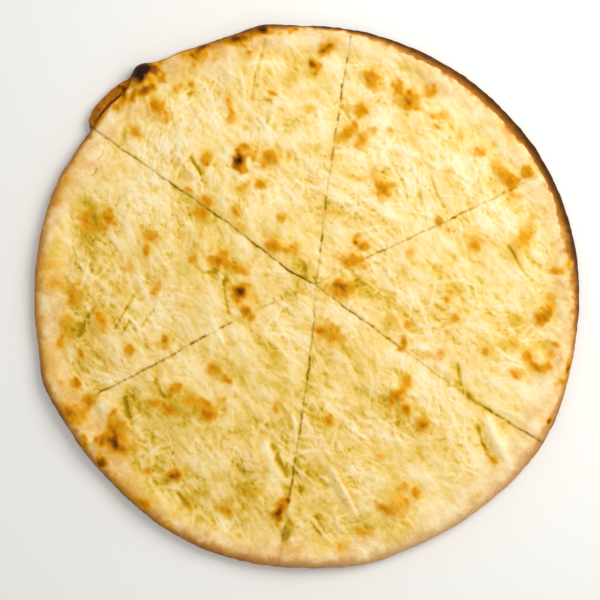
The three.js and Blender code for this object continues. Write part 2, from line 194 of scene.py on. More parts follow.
# Toasted spots: x, y, length, width, turn in degrees, depth of browning from 0 to 1
TOASTED = (
    # Slice 1, upper right
    (36.5, 131.8, 9, 4.5, -15, 0.5), (40.5, 128, 11, 6.5, -65, 0.6), (33.4, 111, 9, 8, -40, 0.62),
    (24, 96.5, 12, 5.5, 45, 0.58), (33, 93, 8, 9, 0, 0.46), (40.5, 98.4, 4, 4, 0, 0.35),
    (50.2, 98, 3, 4, 0, 0.35), (16, 83, 6, 5, 0, 0.25), (41.5, 70.5, 4.5, 10, 30, 0.48),
    (45.5, 64.5, 8, 7, -40, 0.6), (51, 66, 6, 4.5, 20, 0.5), (32, 70, 11, 4, 0, 0.3),
    (15, 51, 8, 6, 0, 0.35), (34, 46, 3, 5, 0, 0.3), (30, 35.5, 5, 3, 45, 0.45), (35, 29.5, 6, 5, 0, 0.55),
    (27.8, 21.3, 11, 10, 0, 0.62), (62, 117, 11, 11, 0, 0.58), (64.5, 114, 6, 6, 0, 0.4),
    (55.2, 122, 6, 9, 0, 0.5), (56, 127, 3, 4, 0, 0.35), (74, 120.5, 8, 6, 10, 0.52),
    (82, 107, 5, 5, 0, 0.42), (76, 106.7, 5, 5, 0, 0.35), (77.3, 100.7, 9, 4, -30, 0.4),
    (92, 94.7, 4, 5, 0, 0.3), (104, 85.5, 11, 8, 0, 0.4), (117, 73, 16, 8, -50, 0.55),
    (122, 67, 8, 7, 0, 0.5), (124, 60.5, 12, 5, -10, 0.35), (132, 73.5, 5, 5.5, 0, 0.6),
    (79, 45, 6, 6, 45, 0.6), (85.6, 67, 7, 7, 0, 0.3), (84.7, 74.5, 5, 4, -30, 0.28),
    (117.5, 98.5, 16, 4, -50, 0.25),
    # Slice 2, upper left
    (-33, 155, 26, 7, 13, 0.55), (-25.5, 158.5, 9, 6, -20, 0.95), (-20, 157, 6, 5, 0, 0.4),
    (-41.5, 152, 11, 6, 10, 0.82), (-36, 144, 12, 8, 0, 0.25), (-6, 158.5, 5, 3, 0, 0.7),
    (-62, 144.5, 14, 11, 20, 0.56), (-60, 148.3, 11, 5, 20, 0.82), (-68, 142, 14, 9, 30, 0.3),
    (-40, 146, 10, 6, 0, 0.2), (-23, 147, 5, 9, 0, 0.25), (13, 147, 12, 6, 25, 0.66),
    (10.5, 145.5, 4, 3, 25, 0.68), (14.5, 148.3, 5, 2.5, 25, 0.66), (3.5, 138.2, 4.5, 7, 10, 0.86),
    (7.4, 136.3, 5, 5, 0, 0.55), (5, 135, 8, 5, 0, 0.3), (14, 154, 5, 4, 0, 0.25),
    (-19.5, 120.6, 5.5, 2, -25, 0.55), (-22.3, 116.6, 5, 2, -15, 0.45), (-44.5, 117, 5, 9, 0, 0.4),
    (-43.5, 107, 5, 7, 0, 0.43), (-44, 112, 3.5, 10, 0, 0.3), (-45, 127, 6, 6, 0, 0.15),
    (-7.4, 130, 7, 9, 0, 0.28), (3.6, 120, 8, 6, 0, 0.22), (2.7, 111.6, 6, 4, 0, 0.28),
    (0, 103, 4, 4, 0, 0.22), (-5, 142, 5, 5, 0, 0.2), (-88.6, 113.2, 9, 9, 0, 0.66),
    (-95, 110, 12, 7, 0, 0.2), (-101.5, 98, 6, 6, 0, 0.62), (-82.2, 105, 4, 6, 0, 0.48),
    (-73.4, 124.8, 5, 5, 0, 0.5), (-67.6, 125.3, 4.5, 5, 0, 0.55), (-58.7, 82, 8, 6, 60, 0.64),
    (-61, 73.2, 4, 6, 0, 0.35), (-40, 79, 9, 7, 80, 0.64), (-39.4, 80.8, 5.5, 6, 60, 0.82),
    (-34.8, 87, 8, 8, 0, 0.5), (-30.2, 83.3, 4, 10, -15, 0.42), (-21, 83, 14, 9, 0, 0.52),
    (-9.3, 84, 4, 5, 0, 0.55), (-28, 77, 10, 4, 0, 0.25), (-26.6, 66.7, 6, 6, 30, 0.64),
    (-36.7, 65, 10, 4, 40, 0.46), (-39, 62, 8, 5, 0, 0.25), (-57.8, 56, 8, 8, 0, 0.42),
    (-41.2, 52, 5, 7, 0, 0.5), (-13, 47, 6, 6, 0, 0.5), (-40, 40, 7, 5, 0, 0.4),
    (-18.5, 30.3, 9, 11, 0, 0.6), (-7.8, 28, 7, 5.5, -20, 0.46), (-69.8, 63.9, 5, 3, -35, 0.4),
    (-98.3, 134.2, 19, 10, 29, 0.95), (-96.5, 129, 10, 6, 72, 0.88), (-97, 131, 22, 13, 25, 0.7),
    (-89, 134.5, 9, 7, 30, 0.64), (-107, 123.4, 8, 6, 30, 0.88), (-107.5, 117.5, 5, 8, -10, 0.74),
    (-102, 118, 5, 9, -15, 0.74), (-94.5, 122, 14, 6, 30, 0.82), (-112, 112, 6, 4, 45, 0.5),
    (-122, 104.5, 9, 4, 45, 0.6),
    # Slice 3, left
    (-117, 46, 9, 10, 0, 0.6), (-126, 52, 6, 9, 0, 0.55), (-124.3, 41, 13, 7, 0, 0.55),
    (-130, 46.4, 8, 9, 0, 0.5), (-92, 35.3, 9, 6, 0, 0.62), (-94, 28, 5, 10, 0, 0.5),
    (-61, 48.8, 9, 7, -65, 0.62), (-67, 22.4, 6, 7, 0, 0.55), (-64, 18, 5, 8, 35, 0.25),
    (-49.4, 23.8, 8, 9, 30, 0.62), (-53.3, 21, 7, 6, 0, 0.52), (-42, 17, 13, 8, -15, 0.5),
    (-105, 17, 5, 4, 0, 0.35), (-148, 18, 8, 10, 0, 0.3), (-148, 9, 10, 9, 0, 0.45),
    (-143, 5, 10, 7, -35, 0.42), (-136, 0, 8, 11, 0, 0.5), (-138, 6, 6, 6, 0, 0.3),
    (-153, 18, 8, 12, 0, 0.35), (-142, 67, 12, 5, 65, 0.36), (-147, 58, 8, 4, 65, 0.4),
    (-136, 79, 8, 4, 55, 0.3), (-88, 6, 10, 4.5, 62, 0.52), (-141, -13, 7, 7, 0, 0.48),
    (-139, -20, 8, 12, 0, 0.42), (-121, -13, 7, 14, 10, 0.48), (-124, -21, 8, 9, 0, 0.32),
    (-150, -40, 24, 9, -75, 0.3), (-145, -28, 5, 6, 0, 0.55), (-133, -34, 4, 6, 0, 0.55),
    (-137, -62, 26, 10, -62, 0.3), (-135, -51, 5, 6, 0, 0.55), (-104, -31, 5, 6, 0, 0.52),
    (-83.4, -26, 4.5, 7, 0, 0.6), (-87, -28.5, 5, 4, 0, 0.35), (-73, -5, 6, 5, 0, 0.3),
    (-159, -8, 3, 2, 0, 0.5), (-38, 3, 12, 10, 30, 0.58), (-38.2, 3.4, 8.5, 7, 35, 0.8),
    (-36.5, 5, 5, 4, 60, 0.6), (-31, 0, 6, 6, 0, 0.25), (-25, 8, 14, 4, -40, 0.2),
    (-35, -8.4, 6, 6, 0, 0.68), (-31.8, -12, 5, 5, 0, 0.5), (-111, 5, 7, 9, 0, 0.3),
    # Slice 4, lower left
    (-128, -61.5, 9, 8, 0, 0.52), (-131, -69, 9, 13, -20, 0.46), (-141.5, -67.5, 9, 10, 0, 0.54),
    (-135.5, -67, 11, 10, 0, 0.45), (-130.6, -87.4, 4, 6, 0, 0.68), (-112, -81, 12, 20, 0, 0.6),
    (-111.5, -76, 7, 8, 0, 0.6), (-111.5, -89, 14, 10, -20, 0.6), (-117.5, -84, 8, 8, 0, 0.52),
    (-112.2, -86.5, 5, 9, 10, 0.74), (-111.8, -84, 3, 6, 0, 0.6), (-120, -97.5, 7, 8, 0, 0.92),
    (-107, -112.5, 18, 7, -38, 0.42), (-94.3, -103.4, 6.5, 4, 0, 0.45), (-78.2, -105.8, 10, 6, 0, 0.56),
    (-78.5, -106, 7, 3, 0, 0.72), (-85, -110, 10, 7, 0, 0.2), (-96.6, -121.5, 9, 5, -30, 0.64),
    (-76.8, -53.8, 6, 5.5, 0, 0.62), (-54, -43, 9, 7, -60, 0.6), (-48, -48, 9, 5, -15, 0.5),
    (-89.2, -62.5, 9, 5, 0, 0.58), (-79, -66.5, 13, 8, 0, 0.54), (-80, -67, 8, 6, 0, 0.54),
    (-70, -61.5, 11, 6, 0, 0.49), (-60.7, -62.5, 5, 5, 0, 0.5), (-58, -69.5, 9, 7, -20, 0.66),
    (-70, -70, 6, 4, 0, 0.35), (-50, -62, 5, 5, 0, 0.4), (-17, -65, 4, 8, 0, 0.4), (-16, -54, 3, 4, 0, 0.3),
    (-24, -83, 8, 4, 0, 0.25), (-48.6, -125.6, 9, 6.5, -10, 0.58), (-46, -126, 4, 4, 0, 0.4),
    (-32, -115.5, 9, 9, 0, 0.35), (-69.5, -123, 7, 3.5, -50, 0.35), (-35, -132, 5, 5, 0, 0.3),
    (-14.5, -125.3, 12, 6.5, 65, 0.68), (-16.2, -127.5, 5, 6, -20, 0.8), (-10.4, -120, 3, 4, 0, 0.72),
    (-82, -137, 8, 5, -35, 0.5),
    # Slice 5, lower right
    (13, -21.8, 17, 10, -30, 0.52), (10, -20.2, 6, 4.5, -15, 0.6), (16, -23.5, 6, 6, 0, 0.54),
    (13.5, -74, 8, 8, 0, 0.6), (14, -73.5, 4, 4, 0, 0.4), (58.7, -51.7, 8, 5.5, 70, 0.58),
    (52.2, -59, 8, 6.5, 20, 0.55), (56, -55.5, 6, 4, 50, 0.4), (59.1, -66.4, 5.5, 5.5, 0, 0.6),
    (52.2, -66.4, 8, 4, -10, 0.25), (68.8, -75.1, 7.5, 7.5, 0, 0.62), (70, -75.5, 3.5, 3.5, 0, 0.55),
    (52, -80, 3, 3, 0, 0.3), (23.7, -60.4, 4, 6, 0, 0.28), (32.8, -65.5, 10, 5, 0, 0.2),
    (21, -96, 12, 8, 0, 0.2), (58, -113, 5, 5, 0, 0.35), (65, -116, 5, 5, 0, 0.45),
    (52, -124.5, 17, 10, 20, 0.36), (54, -121, 14, 12, 0, 0.33), (60, -122.5, 6, 8, 0, 0.32),
    (32, -138, 8, 4.5, -25, 0.54), (38, -139.5, 6, 4, 0, 0.35), (22, -148, 6, 7, 0, 0.32),
    (-4, -148.5, 5, 4, 0, 0.3), (102, -117, 4, 5, 0, 0.3), (111, -96, 5, 5, 0, 0.45),
    (80, -80, 5, 5, 0, 0.2), (43.9, -95, 6, 4, -20, 0.35),
    # Slice 6, right
    (22, 5.5, 15, 11, 0, 0.5), (18.3, 6.9, 5, 5, 0, 0.7), (22, 6, 5, 5, 0, 0.68), (32, 9.2, 4, 8, 15, 0.4),
    (36.7, 0.6, 4, 4, 0, 0.35), (50.7, -3.5, 7, 3.5, -20, 0.38), (57, -8, 9, 5, -40, 0.42),
    (62, 27, 5, 5, 0, 0.35), (100, 31.3, 9, 9, 0, 0.6), (130.5, 35.5, 15, 8, 75, 0.55),
    (125.5, 30.5, 10, 9, 0, 0.3), (148.5, 15.4, 7, 4, -10, 0.42), (155.5, 20, 4, 6, 0, 0.45),
    (152, -0.5, 4, 3, 0, 0.38), (84, -1.5, 5, 8, -15, 0.42), (88, -12.5, 7, 6, 0, 0.5),
    (78, 14, 9, 5, 0, 0.2), (60.2, -16, 5.5, 5, 0, 0.62), (58.2, -26.4, 4, 6.5, 0, 0.54),
    (52, -14.4, 7, 9, 30, 0.42), (70.6, -34.2, 8, 4, 0, 0.3), (106.3, -33, 6.5, 6.5, 0, 0.62),
    (144.5, -7, 5, 13, -15, 0.56), (140, -12.5, 11, 7, 25, 0.54), (134, -5.5, 7, 6, 0, 0.2),
    (131.5, -34.5, 5, 8, 25, 0.54), (136, -41, 8, 4, -25, 0.54), (143, -41.5, 6, 5, 0, 0.54),
    (145, -34.5, 5, 8, -15, 0.5), (139, -28, 8, 5, 0, 0.28), (148, -28.5, 6, 3, -30, 0.42),
    (124, -45.5, 9, 6, 0, 0.42), (151.6, -50.1, 5, 4, 0, 0.64), (155.3, -42.5, 8, 3, 75, 0.85),
    (143.9, -73.2, 1.8, 3.2, -28, 0.92), (123, -27, 8, 7, 0, 0.45), (80.3, -33.3, 6.5, 7, 0, 0.32),
    (75, -9, 8, 6, 0, 0.2), (125, -13, 7, 5, -40, 0.35), (88, 4, 6, 6, 0, 0.35),
)

# Oily hollows of deep yellow to olive cheese, two of them painted shadow: x, y, length, width, turn in
# degrees, depth of colour
OILY_AND_SHADE = (
    (110, 71, 6, 9, 0, 0.45), (84, 75, 5, 3, -40, 0.5), (83, 91, 4, 4, 0, 0.6), (83, 95, 12, 14, 0, 0.25),
    (117, 50, 14, 12, 0, 0.2), (91, 94, 4, 4, 0, 0.5), (20, 93, 8, 7, 0, 0.25), (15, 50, 10, 9, 0, 0.25),
    (12, 35, 8, 10, 0, 0.3), (-6.5, 130.8, 6, 8, 0, 0.5), (3, 111.6, 5, 3, 0, 0.5),
    (-8.5, 103, 7, 6, 0, 0.4), (-10, 98, 7, 5, 0, 0.4), (-13.9, 111.5, 2.5, 2.5, 0, 0.7),
    (-36, 99.6, 2.5, 2.5, 0, 0.7), (-28.2, 99.6, 2.5, 2.5, 0, 0.7), (-18.5, 100, 2.5, 2.5, 0, 0.7),
    (-22.2, 104.7, 2.5, 2.5, 0, 0.7), (-65, 78, 14, 4, -58, 0.55), (-4, 17, 11, 7, -20, 0.6),
    (0, 18, 1.5, 5, 0, 0.6), (-126, 45, 14, 15, 0, 0.15), (-127, 34, 8, 9, 0, 0.5),
    (-123, 26, 10, 10, 0, 0.5), (-117, 25, 8, 8, 0, 0.25), (-60, 15, 9, 4, -20, 0.4),
    (-46, 16, 14, 9, 0, 0.35), (-111, 5, 7, 10, 0, 0.35), (-130, -18, 18, 14, 0, 0.3),
    (-46, -5, 4, 10, 0, 0.35), (-18, -12, 8, 18, 0, 0.28), (-135, 20, 18, 4, -75, 0.35),
    (-45, -106, 36, 28, 0, 0.28), (-33, -114, 10, 12, 0, 0.5), (-82, -111, 12, 8, 0, 0.4),
    (-66, -121, 14, 10, -45, 0.4), (-105, -65, 5, 13, 0, 0.6), (-87, -54, 12, 4, -60, 0.6),
    (-9, -102, 9, 9, 0, 0.55), (-17, -97, 10, 3, -65, 0.5), (-13, -118, 4, 12, 0, 0.5),
    (-20, -125, 14, 6, 0, 0.4), (-75, -63, 30, 10, -8, 0.12), (-11.4, -141, 7, 4.5, 60, 1.4),
    (-5, -60, 10, 14, 0, 0.3), (-3, -88, 6, 10, 0, 0.35), (-22, -74, 12, 5, -30, 0.25),
    # Painted shadow: (108, -89) beside a flap, and (45.8, -56.3) on the next row beside a toasted spot
    (108, -89, 19, 6, -68, 0.6), (26, -116, 30, 4, -62, 0.3), (2, -52, 7, 14, 0, 0.35),
    (8, -68, 12, 10, 0, 0.3), (45.8, -56.3, 6, 11, 10, 0.28), (6.3, 88.5, 8, 6, 0, 0.35),
    (38, -47, 11, 8, 0, 0.45), (33, -66, 7, 6, 0, 0.25), (92, -53, 12, 6, -45, 0.3),
    (99, -60, 26, 3, -39, 0.7), (35, -129, 12, 6, 0, 0.15), (8, -133, 14, 10, -50, 0.3),
    (15, -22, 22, 14, -25, 0.12), (55, -60, 24, 20, 0, 0.1), (72, -74, 18, 12, 0, 0.2),
    (20, 4, 16, 13, 0, 0.4), (35, 6, 14, 4, -60, 0.4), (6, 10, 8, 8, 0, 0.45), (124, 29, 16, 9, 70, 0.5),
    (80, -15, 16, 12, 0, 0.35), (76, -28, 7, 5, 0, 0.3), (47, -6, 10, 4, -55, 0.35),
    (124, -14, 9, 6, -40, 0.3), (57, 10, 8, 6, 0, 0.25), (68, 18, 5, 4, 0, 0.3), (103, 8, 5, 5, 0, 0.25),
    (106, 24, 5, 6, 0, 0.25), (77, 15, 10, 6, 0, 0.2),
)

# Pale patches of bare dough or thick cream: x, y, length, width, turn in degrees, amount
PALE = (
    (18, 140, 11, 9, 0, 0.9), (35, 147, 8, 8, 0, 0.9), (62, 127, 8, 6, 0, 0.6), (44, 107, 9, 12, 0, 0.7),
    (90, 117, 16, 11, -30, 0.8), (10, 97, 8, 12, 0, 0.8), (130, 66, 10, 5, 0, 0.7),
    (58, 45, 9, 6, -60, 0.6), (72, 55, 8, 5, -70, 0.5), (106, 106, 20, 8, -45, 0.5), (93, 80, 8, 6, 0, 0.5),
    (48, 133, 10, 10, 0, 0.4), (-84, 125, 7, 7, 0, 0.9), (-10, 150, 14, 6, 0, 0.5), (3, 151, 11, 6, 0, 0.8),
    (-58, 92, 10, 9, 0, 0.5), (-20, 95, 14, 6, 0, 0.6), (-35, 97, 8, 10, 0, 0.4),
    (-33, 125, 10, 18, 0, 0.4), (-30, 53, 8, 7, 0, 0.4), (-37, 33, 9, 5, 0, 0.6), (-143, 27, 8, 26, 0, 0.6),
    (-118, -62, 8, 9, 0, 0.5), (-125, -79, 12, 7, 0, 0.4), (-110, -102, 14, 7, 0, 0.2),
    (-27, -95, 22, 18, -55, 0.5), (-17, -112, 11, 11, 0, 0.6), (-85, -122, 9, 7, -40, 0.7),
    (-97, -114, 10, 6, -40, 0.4), (-30, -142, 14, 7, 0, 0.5), (6, -147, 16, 8, 0, 0.4),
    (120, -85, 15, 9, 110, 0.2), (103, -97, 6, 7, 0, 0.6), (52, -33, 9, 6, 0, 0.8),
    (20, -14, 16, 8, -35, 0.6), (85, -127, 12, 10, 0, 0.6), (82, -111, 24, 28, -35, 0.45),
    (45, -147, 8, 5, 0, 0.5), (18, -66, 6, 6, 0, 0.6), (125, 47, 12, 6, 0, 0.4), (70, 32, 6, 11, 0, 0.7),
    (121, 12, 12, 6, 0, 0.6), (135, -55, 16, 7, 0, 0.7), (98, -15, 8, 6, 0, 0.5),
    (140, -22, 14, 5, -15, 0.6),
)

# Creases in the top, darker partly from oil and partly as painted shade: width, depth, depth of colour, and
# the points that each one runs through
CREASES = (
    (0.9, 0.6, 0.5, (53, 75), (57, 69), (60, 59)),
    (0.9, 0.6, 0.6, (62, 75), (65, 70), (67, 63), (69, 55)),
    (0.9, 0.6, 0.5, (74, 72), (77, 62), (79, 58), (82, 53)),
    (0.8, 0.6, 0.6, (-24, 152), (-26, 143), (-30, 131), (-32, 117)),
    (1.3, 0.5, 0.8, (-68, 82.5), (-62, 73)),
    (1.4, 0.6, 0.4, (-104, 112), (-107, 101), (-109, 90)),
    (1.2, 0.9, 0.6, (-125, -6), (-131, -14), (-134, -23)),
    (0.9, 0.5, 0.5, (-138, 30), (-135, 22)),
    (0.8, 0.5, 0.8, (-107.8, -20.4), (-104.1, -14), (-100, -20)),
    (0.8, 0.5, 0.7, (-90.3, -7.6), (-97.2, -17.7)),
    (0.8, 0.5, 0.7, (-102.3, -0.2), (-112.8, -18.6)),
    (1.1, 0.6, 0.45, (-66, 18), (-60, 14), (-48, 17)),
    (0.5, 0.6, 0.8, (-119.2, 87), (-120.2, 84), (-122.7, 81)),
    (0.5, 0.6, 1.0, (-123.6, 75.5), (-124.2, 73.5), (-126, 71.5)),
    (0.9, 0.5, 0.5, (-48.5, 9), (-47.4, -1), (-45.4, -10)),
    (1.2, 1.0, 0.8, (-107, -60), (-106, -66), (-103, -75)),
    (1.2, 0.9, 0.8, (-89, -50), (-84, -59)),
    (1.4, 1.2, 0.9, (-20, -88), (-17, -93), (-14, -101), (-11, -106)),
    (0.9, 0.5, 0.9, (-75, -117), (-69, -125)),
    (0.8, 0.4, 0.3, (-38, -97), (-28, -99)),
    (0.8, 0.4, 0.3, (-37, -103), (-26, -104)),
    (0.8, 0.4, 0.3, (-34, -108), (-25, -108.5)),
    (1.0, 0.5, 0.35, (17, -99), (29, -121), (32, -129)),
    (0.9, 0.5, 0.5, (2, -132), (9, -141)),
    (0.9, 0.5, 0.5, (6, -130), (11, -138)),
    (0.9, 0.5, 0.5, (14, -138), (18, -142)),
    (1.2, 0.9, 0.7, (102, -78), (104, -85), (108, -94), (111, -98)),
    (1.0, 0.9, 0.8, (120, 30), (123, 25), (127, 17), (131, 12)),
    (1.0, 0.7, 0.7, (90, -40), (92, -52)),
)

# Pale ridges of lifted dough: width, rise, and the points that each one runs through
RIDGES = (
    (2.4, 0.8, (-117, -61), (-109, -70), (-100, -81)),
    (2.2, 0.6, (15, -98), (27, -122), (30, -130)),
    (2.4, 0.5, (108, -72), (115, -88), (118, -95)),
    (1.2, 0.6, (-94, 118), (-92, 109), (-87, 106)),
    (2.0, 0.6, (-92, -46), (-87, -55), (-82, -61)),
    (2.4, 0.7, (-24, -84), (-21, -92), (-18, -101), (-15, -107)),
    (1.8, 0.5, (-57.6, -6.6), (-54.4, -15.2), (-49.4, -26.5)),
    (1.2, 0.4, (52, -9), (60.2, -23.4)),
    (2.2, 0.6, (-121, 8), (-112, 1), (-103, -6)),
    (1.2, 0.4, (-139, 32), (-131, 16), (-120, 8)),
)

# How far a patch's soft edge and a spot's oily halo go past the size in the list, and how fast they fade
PATCH_SPREAD = 1.2
HALO_SPREAD = 2.0
PATCH_FADE = 0.7
PATCH_EDGE = 2

# Toasted spots: the powers by which they join and fall off at their edge, then the depths of toasting
# between which their mottling fades, and by how much
TOAST_BLEND = 3
TOAST_EDGE = 2.4
EVEN_TOAST = (0.35, 0.8)
EVEN_SHARE = 0.75

# Browning of the outer edge, its dark outer line partly painted shade: degrees, how far in from the widest
# line it starts, strength
EDGE_BROWNING_AND_SHADE = (
    (0, 12.0, 1.05), (10, 12.5, 1.12), (20, 6.0, 1.12), (30, 5.6, 1.1), (42, 6.5, 1.03), (58, 6.0, 0.96),
    (70, 7.2, 1.12), (78, 6.2, 1.15), (85, 4.4, 1.35), (92, 4.2, 1.0), (100, 13.0, 0.95), (112, 9.0, 0.7),
    (119, 4.0, 0.6), (123, 5.0, 0.8), (126, 6.0, 1.0), (128, 5.0, 0.95), (131, 3.0, 0.6), (143, 6.0, 0.85),
    (147, 8.0, 0.62), (153, 9.5, 0.56), (163, 10.5, 0.56), (173, 11.0, 0.56), (190, 12.0, 0.56),
    (205, 10.0, 0.8), (215, 9.0, 0.7), (230, 11.0, 0.68), (250, 14.0, 0.7), (270, 14.0, 0.62),
    (283, 11.0, 0.6), (291, 11.0, 0.5), (305, 12.0, 0.48), (317, 22.0, 0.42), (330, 10.5, 0.7),
    (340, 9.5, 0.62), (348, 6.5, 0.62), (355, 8.0, 0.95), (360, 12.0, 1.05),
)

# Its least width, the power by which it falls off inwards, and how much its line strays with the crust
LEAST_BROWNING = 0.5
EDGE_FALL = 1.5
EDGE_STRAY = 0.22

# On the slope side it is sharp-edged: the shares of the slope between which it turns so, how much less its
# line strays there, the part of it that sets in at once, and the share of its width in which it does
SHARP_RANGE = (0.2, 0.7)
SHARP_STEADY = 0.75
SHARP_PART = 0.5
SHARP_START = 0.12

# A faint glow inwards on the slope side: strength, width, how much it strays, and its hold on the slope
SLOPE_GLOW = 0.45
GLOW_WIDTH = 12.0
GLOW_STRAY = 0.5
GLOW_HOLD = 1.4

# Below the widest line the crust is at least this brown, strays by this much, and is browner at its foot
SKIRT_BROWN = 0.5
SKIRT_STRAY = 0.12
FOOT_BROWN = 0.2

# Light toasting fades on the outer edge: by how much, over which part of the edge, and up to which depth
TOAST_FADE = 0.8
TOAST_FADE_RANGE = (0.5, 0.9)
DEEP_TOAST_RANGE = (0.5, 0.9)

# Part of the edge over which the lip takes its own colour
LIP_COLOUR_RANGE = (0.4, 0.5)

# Side where flour dulls the browned edge: degrees, spread in degrees, share
FLOUR_DEGREES = 297
FLOUR_SPREAD = 30
FLOUR_SHARE = 0.5

# Relief and colour are worked out on a square of cells over the loaf, and read up to just inside the last
CELL = 0.4
CELLS = 880
MIDDLE_CELL = (CELLS - 1) / 2
LAST_CELL = CELLS - 1.001
cell_line = (np.arange(CELLS) - MIDDLE_CELL) * CELL
GRID_X, GRID_Y = np.meshgrid(cell_line, cell_line)

# How far round a mark the cells are worked out: in sizes of a patch, in mm past a strand and past a line,
# and in cells past any of them
PATCH_REACH = 2.0
STRAND_REACH = 6
LINE_REACH = 8
SPARE_CELLS = 2

# Melted cheese: how far out it goes, the width over which it thins out, and the wander of its line
CHEESE_RADIUS = 147.0
CHEESE_EDGE = 9.0
CHEESE_WANDER = 4.0

# What hides its strands: bare dough, toast, and places where it melted flat, with the range of their noise
DOUGH_COVER = 0.6
TOAST_COVER = 0.7
MELT_COVER = 0.5
MELT_RANGE = (-0.8, 1.2)

# Direction in which the cheese was spread: in the middle, its change for each mm to the right or down, and
# how far it turns to and fro
FLOW_TURN = math.radians(-50)
FLOW_CHANGE = math.radians(0.1)
FLOW_SWAY = 0.2

# Long folds, short strands and thin valleys: how many, ranges of length and width, and swing in radians
FOLDS = (650, (14.0, 34.0), (2.4, 5.6), 0.3)
STRANDS = (1800, (8.0, 24.0), (0.9, 2.0), 0.65)
VALLEYS = (1400, (2.0, 8.0), (0.7, 1.2), 0.45)

# For all of them: seed, greatest bend, range of lift, power of their edge, and range kept of the valleys
STROKE_SEED = 7
STROKE_BEND = 3.0
STROKE_LIFT = (0.2, 1.0)
STROKE_EDGE = 2.2
VALLEY_RANGE = (-1, 3)

# Small oily pits between the strands: how many, ranges of length, width and depth, swing in radians, and
# how readily they lie where they don't crowd
PIT_COUNT = 2800
PIT_LENGTH = (1.0, 2.3)
PIT_WIDTH = (0.8, 1.4)
PIT_DEPTH = (0.12, 0.34)
PIT_SWING = 0.6
PIT_READINESS = 0.3

# The longer shreds that the solids carry too, spread by the golden angle and varied by fixed draws
SHRED_COUNT = 66
SHRED_FIELD_RADIUS = 143.0
SHRED_LENGTH = 17.0
SHORTEST_SHRED = 0.7
SHRED_STRETCH = 0.6
SHRED_WIDTH = 4.0
SPREADS_IN_WIDTH = 2.4
SHRED_RISE = 0.7
SHRED_BEND = 3.0
GOLDEN_ANGLE = math.pi * (3 - math.sqrt(5))
DRAW_STEPS = (12.9898, 78.233)
DRAW_SCALE = 43758.5453
LENGTH_DRAW, TURN_DRAW, BEND_DRAW = 1, 2, 3

# Soft noises over the top: name, size of a blob, seed, stretch along the cheese's flow
TOP_NOISES = (
    ("broad", 50, 1, 1),
    ("mottle", 20, 2, 1),
    ("blotch", 8, 3, 1.8),
    ("grain", 3.2, 4, 2.2),
    ("fine", 1.6, 5, 1.8),
    ("wide_rag", 7, 6, 1),
    ("narrow_rag", 3, 7, 1),
    ("turning", 70, 8, 1),
    ("melting", 26, 9, 1),
    ("wide_crust", 9, 12, 1),
    ("narrow_crust", 3, 13, 1),
)
SIGMAS_IN_BLOB = 3

# How much each noise or layer adds to the tone, the relief in mm, the toast, ragged lines and the crust
TONE_MIDDLE = 0.571
# Painted light: the tone rises towards the upper right, the lamp's side, by this much for each mm
PAINTED_LIGHT_SLANT = 0.0004
# Lifted folds and strands come out paler and valleys darker, partly the cheese's own colour and partly
# painted highlight and shade
TONE_SHARES = {
    "broad": 0.02, "mottle": 0.03, "blotch": 0.05, "grain": 0.05, "fine": 0.045,
    "folds": 0.26, "strands": 0.32, "valleys": -0.05, "shreds": 0.05, "pits": -0.38,
    "halo": -0.1, "oily_and_shade": -0.5, "pale": 0.28, "crease_oil_and_shade": -0.5, "ridge_line": 0.25,
}
RELIEF_SHARES = {
    "blotch": 0.15, "grain": 0.07, "fine": 0.03,
    "folds": 0.26, "strands": 0.18, "valleys": -0.08, "shreds": SHRED_RISE, "pits": -PIT_DEPTH[1],
    "browned": 0.3, "oily_and_shade": -0.3, "creases": -1, "ridges": 1,
}
TOAST_SHARES = {"blotch": 0.1, "grain": 0.14, "fine": 0.12, "strands": -0.1}
RAG_SHARES = {"wide_rag": 0.15, "narrow_rag": 0.11}
CRUST_SHARES = {"wide_crust": 0.7, "narrow_crust": 0.5}

# Unevenness of the outer crust: how often its pattern repeats around the loaf, its relief, and the part of
# the edge over which it sets in
EDGE_WRAPS = 3
CRUST_RELIEF = 0.16
CRUST_RANGE = (0.1, 0.5)

# Mesh of one slice: corners and cuts of its flat sheet, rows of the skirt below it, how much the height of
# the edge counts in sharing out its rings, the rounds in which the widest line is found, and the angle past
# which an edge stays sharp
SHEET_CORNERS = ((0, 0, 0), (1, 0, 0), (1, 1, 0))
SHEET_CUTS = (15, 19)
SHEET_STEPS = (SHEET_CUTS[0] + 1) * (SHEET_CUTS[1] + 1)
SKIRT_ROWS = 6
EDGE_HEIGHT_SHARE = 0.5
REACH_ROUNDS = 8
SHARP_EDGE_DEGREES = 50
TOP_MATERIAL, CRUST_MATERIAL, CRUMB_MATERIAL = range(3)

# Display colours of 0 to 255, each at its place on a factor from 0 to 1
CHEESE_COLOURS = (
    (0.0, (180, 136, 8)), (0.13, (202, 160, 24)), (0.27, (224, 184, 58)), (0.5, (246, 211, 122)),
    (0.74, (254, 229, 166)), (1.0, (255, 241, 198)),
)
DOUGH_COLOURS = ((0.3, (232, 184, 110)), (0.54, (248, 214, 150)), (0.78, (254, 235, 188)))
TOAST_COLOURS = (
    (0.1, (246, 202, 88)), (0.32, (237, 174, 36)), (0.56, (220, 147, 8)), (0.74, (172, 102, 2)),
    (0.88, (114, 60, 2)), (1.0, (48, 26, 12)),
)
# The browned edge: its darkest colours are partly painted shade along the outer line
BROWN_AND_SHADE_COLOURS = (
    (0.15, (238, 186, 108)), (0.35, (214, 152, 68)), (0.6, (164, 104, 30)), (0.82, (102, 57, 8)),
    (1.0, (72, 38, 5)),
)
EDGE_FLOUR_COLOURS = ((0.35, (214, 182, 134)), (0.65, (236, 212, 172)))
LIP_COLOURS = ((0.3, (140, 80, 10)), (0.7, (198, 126, 30)))
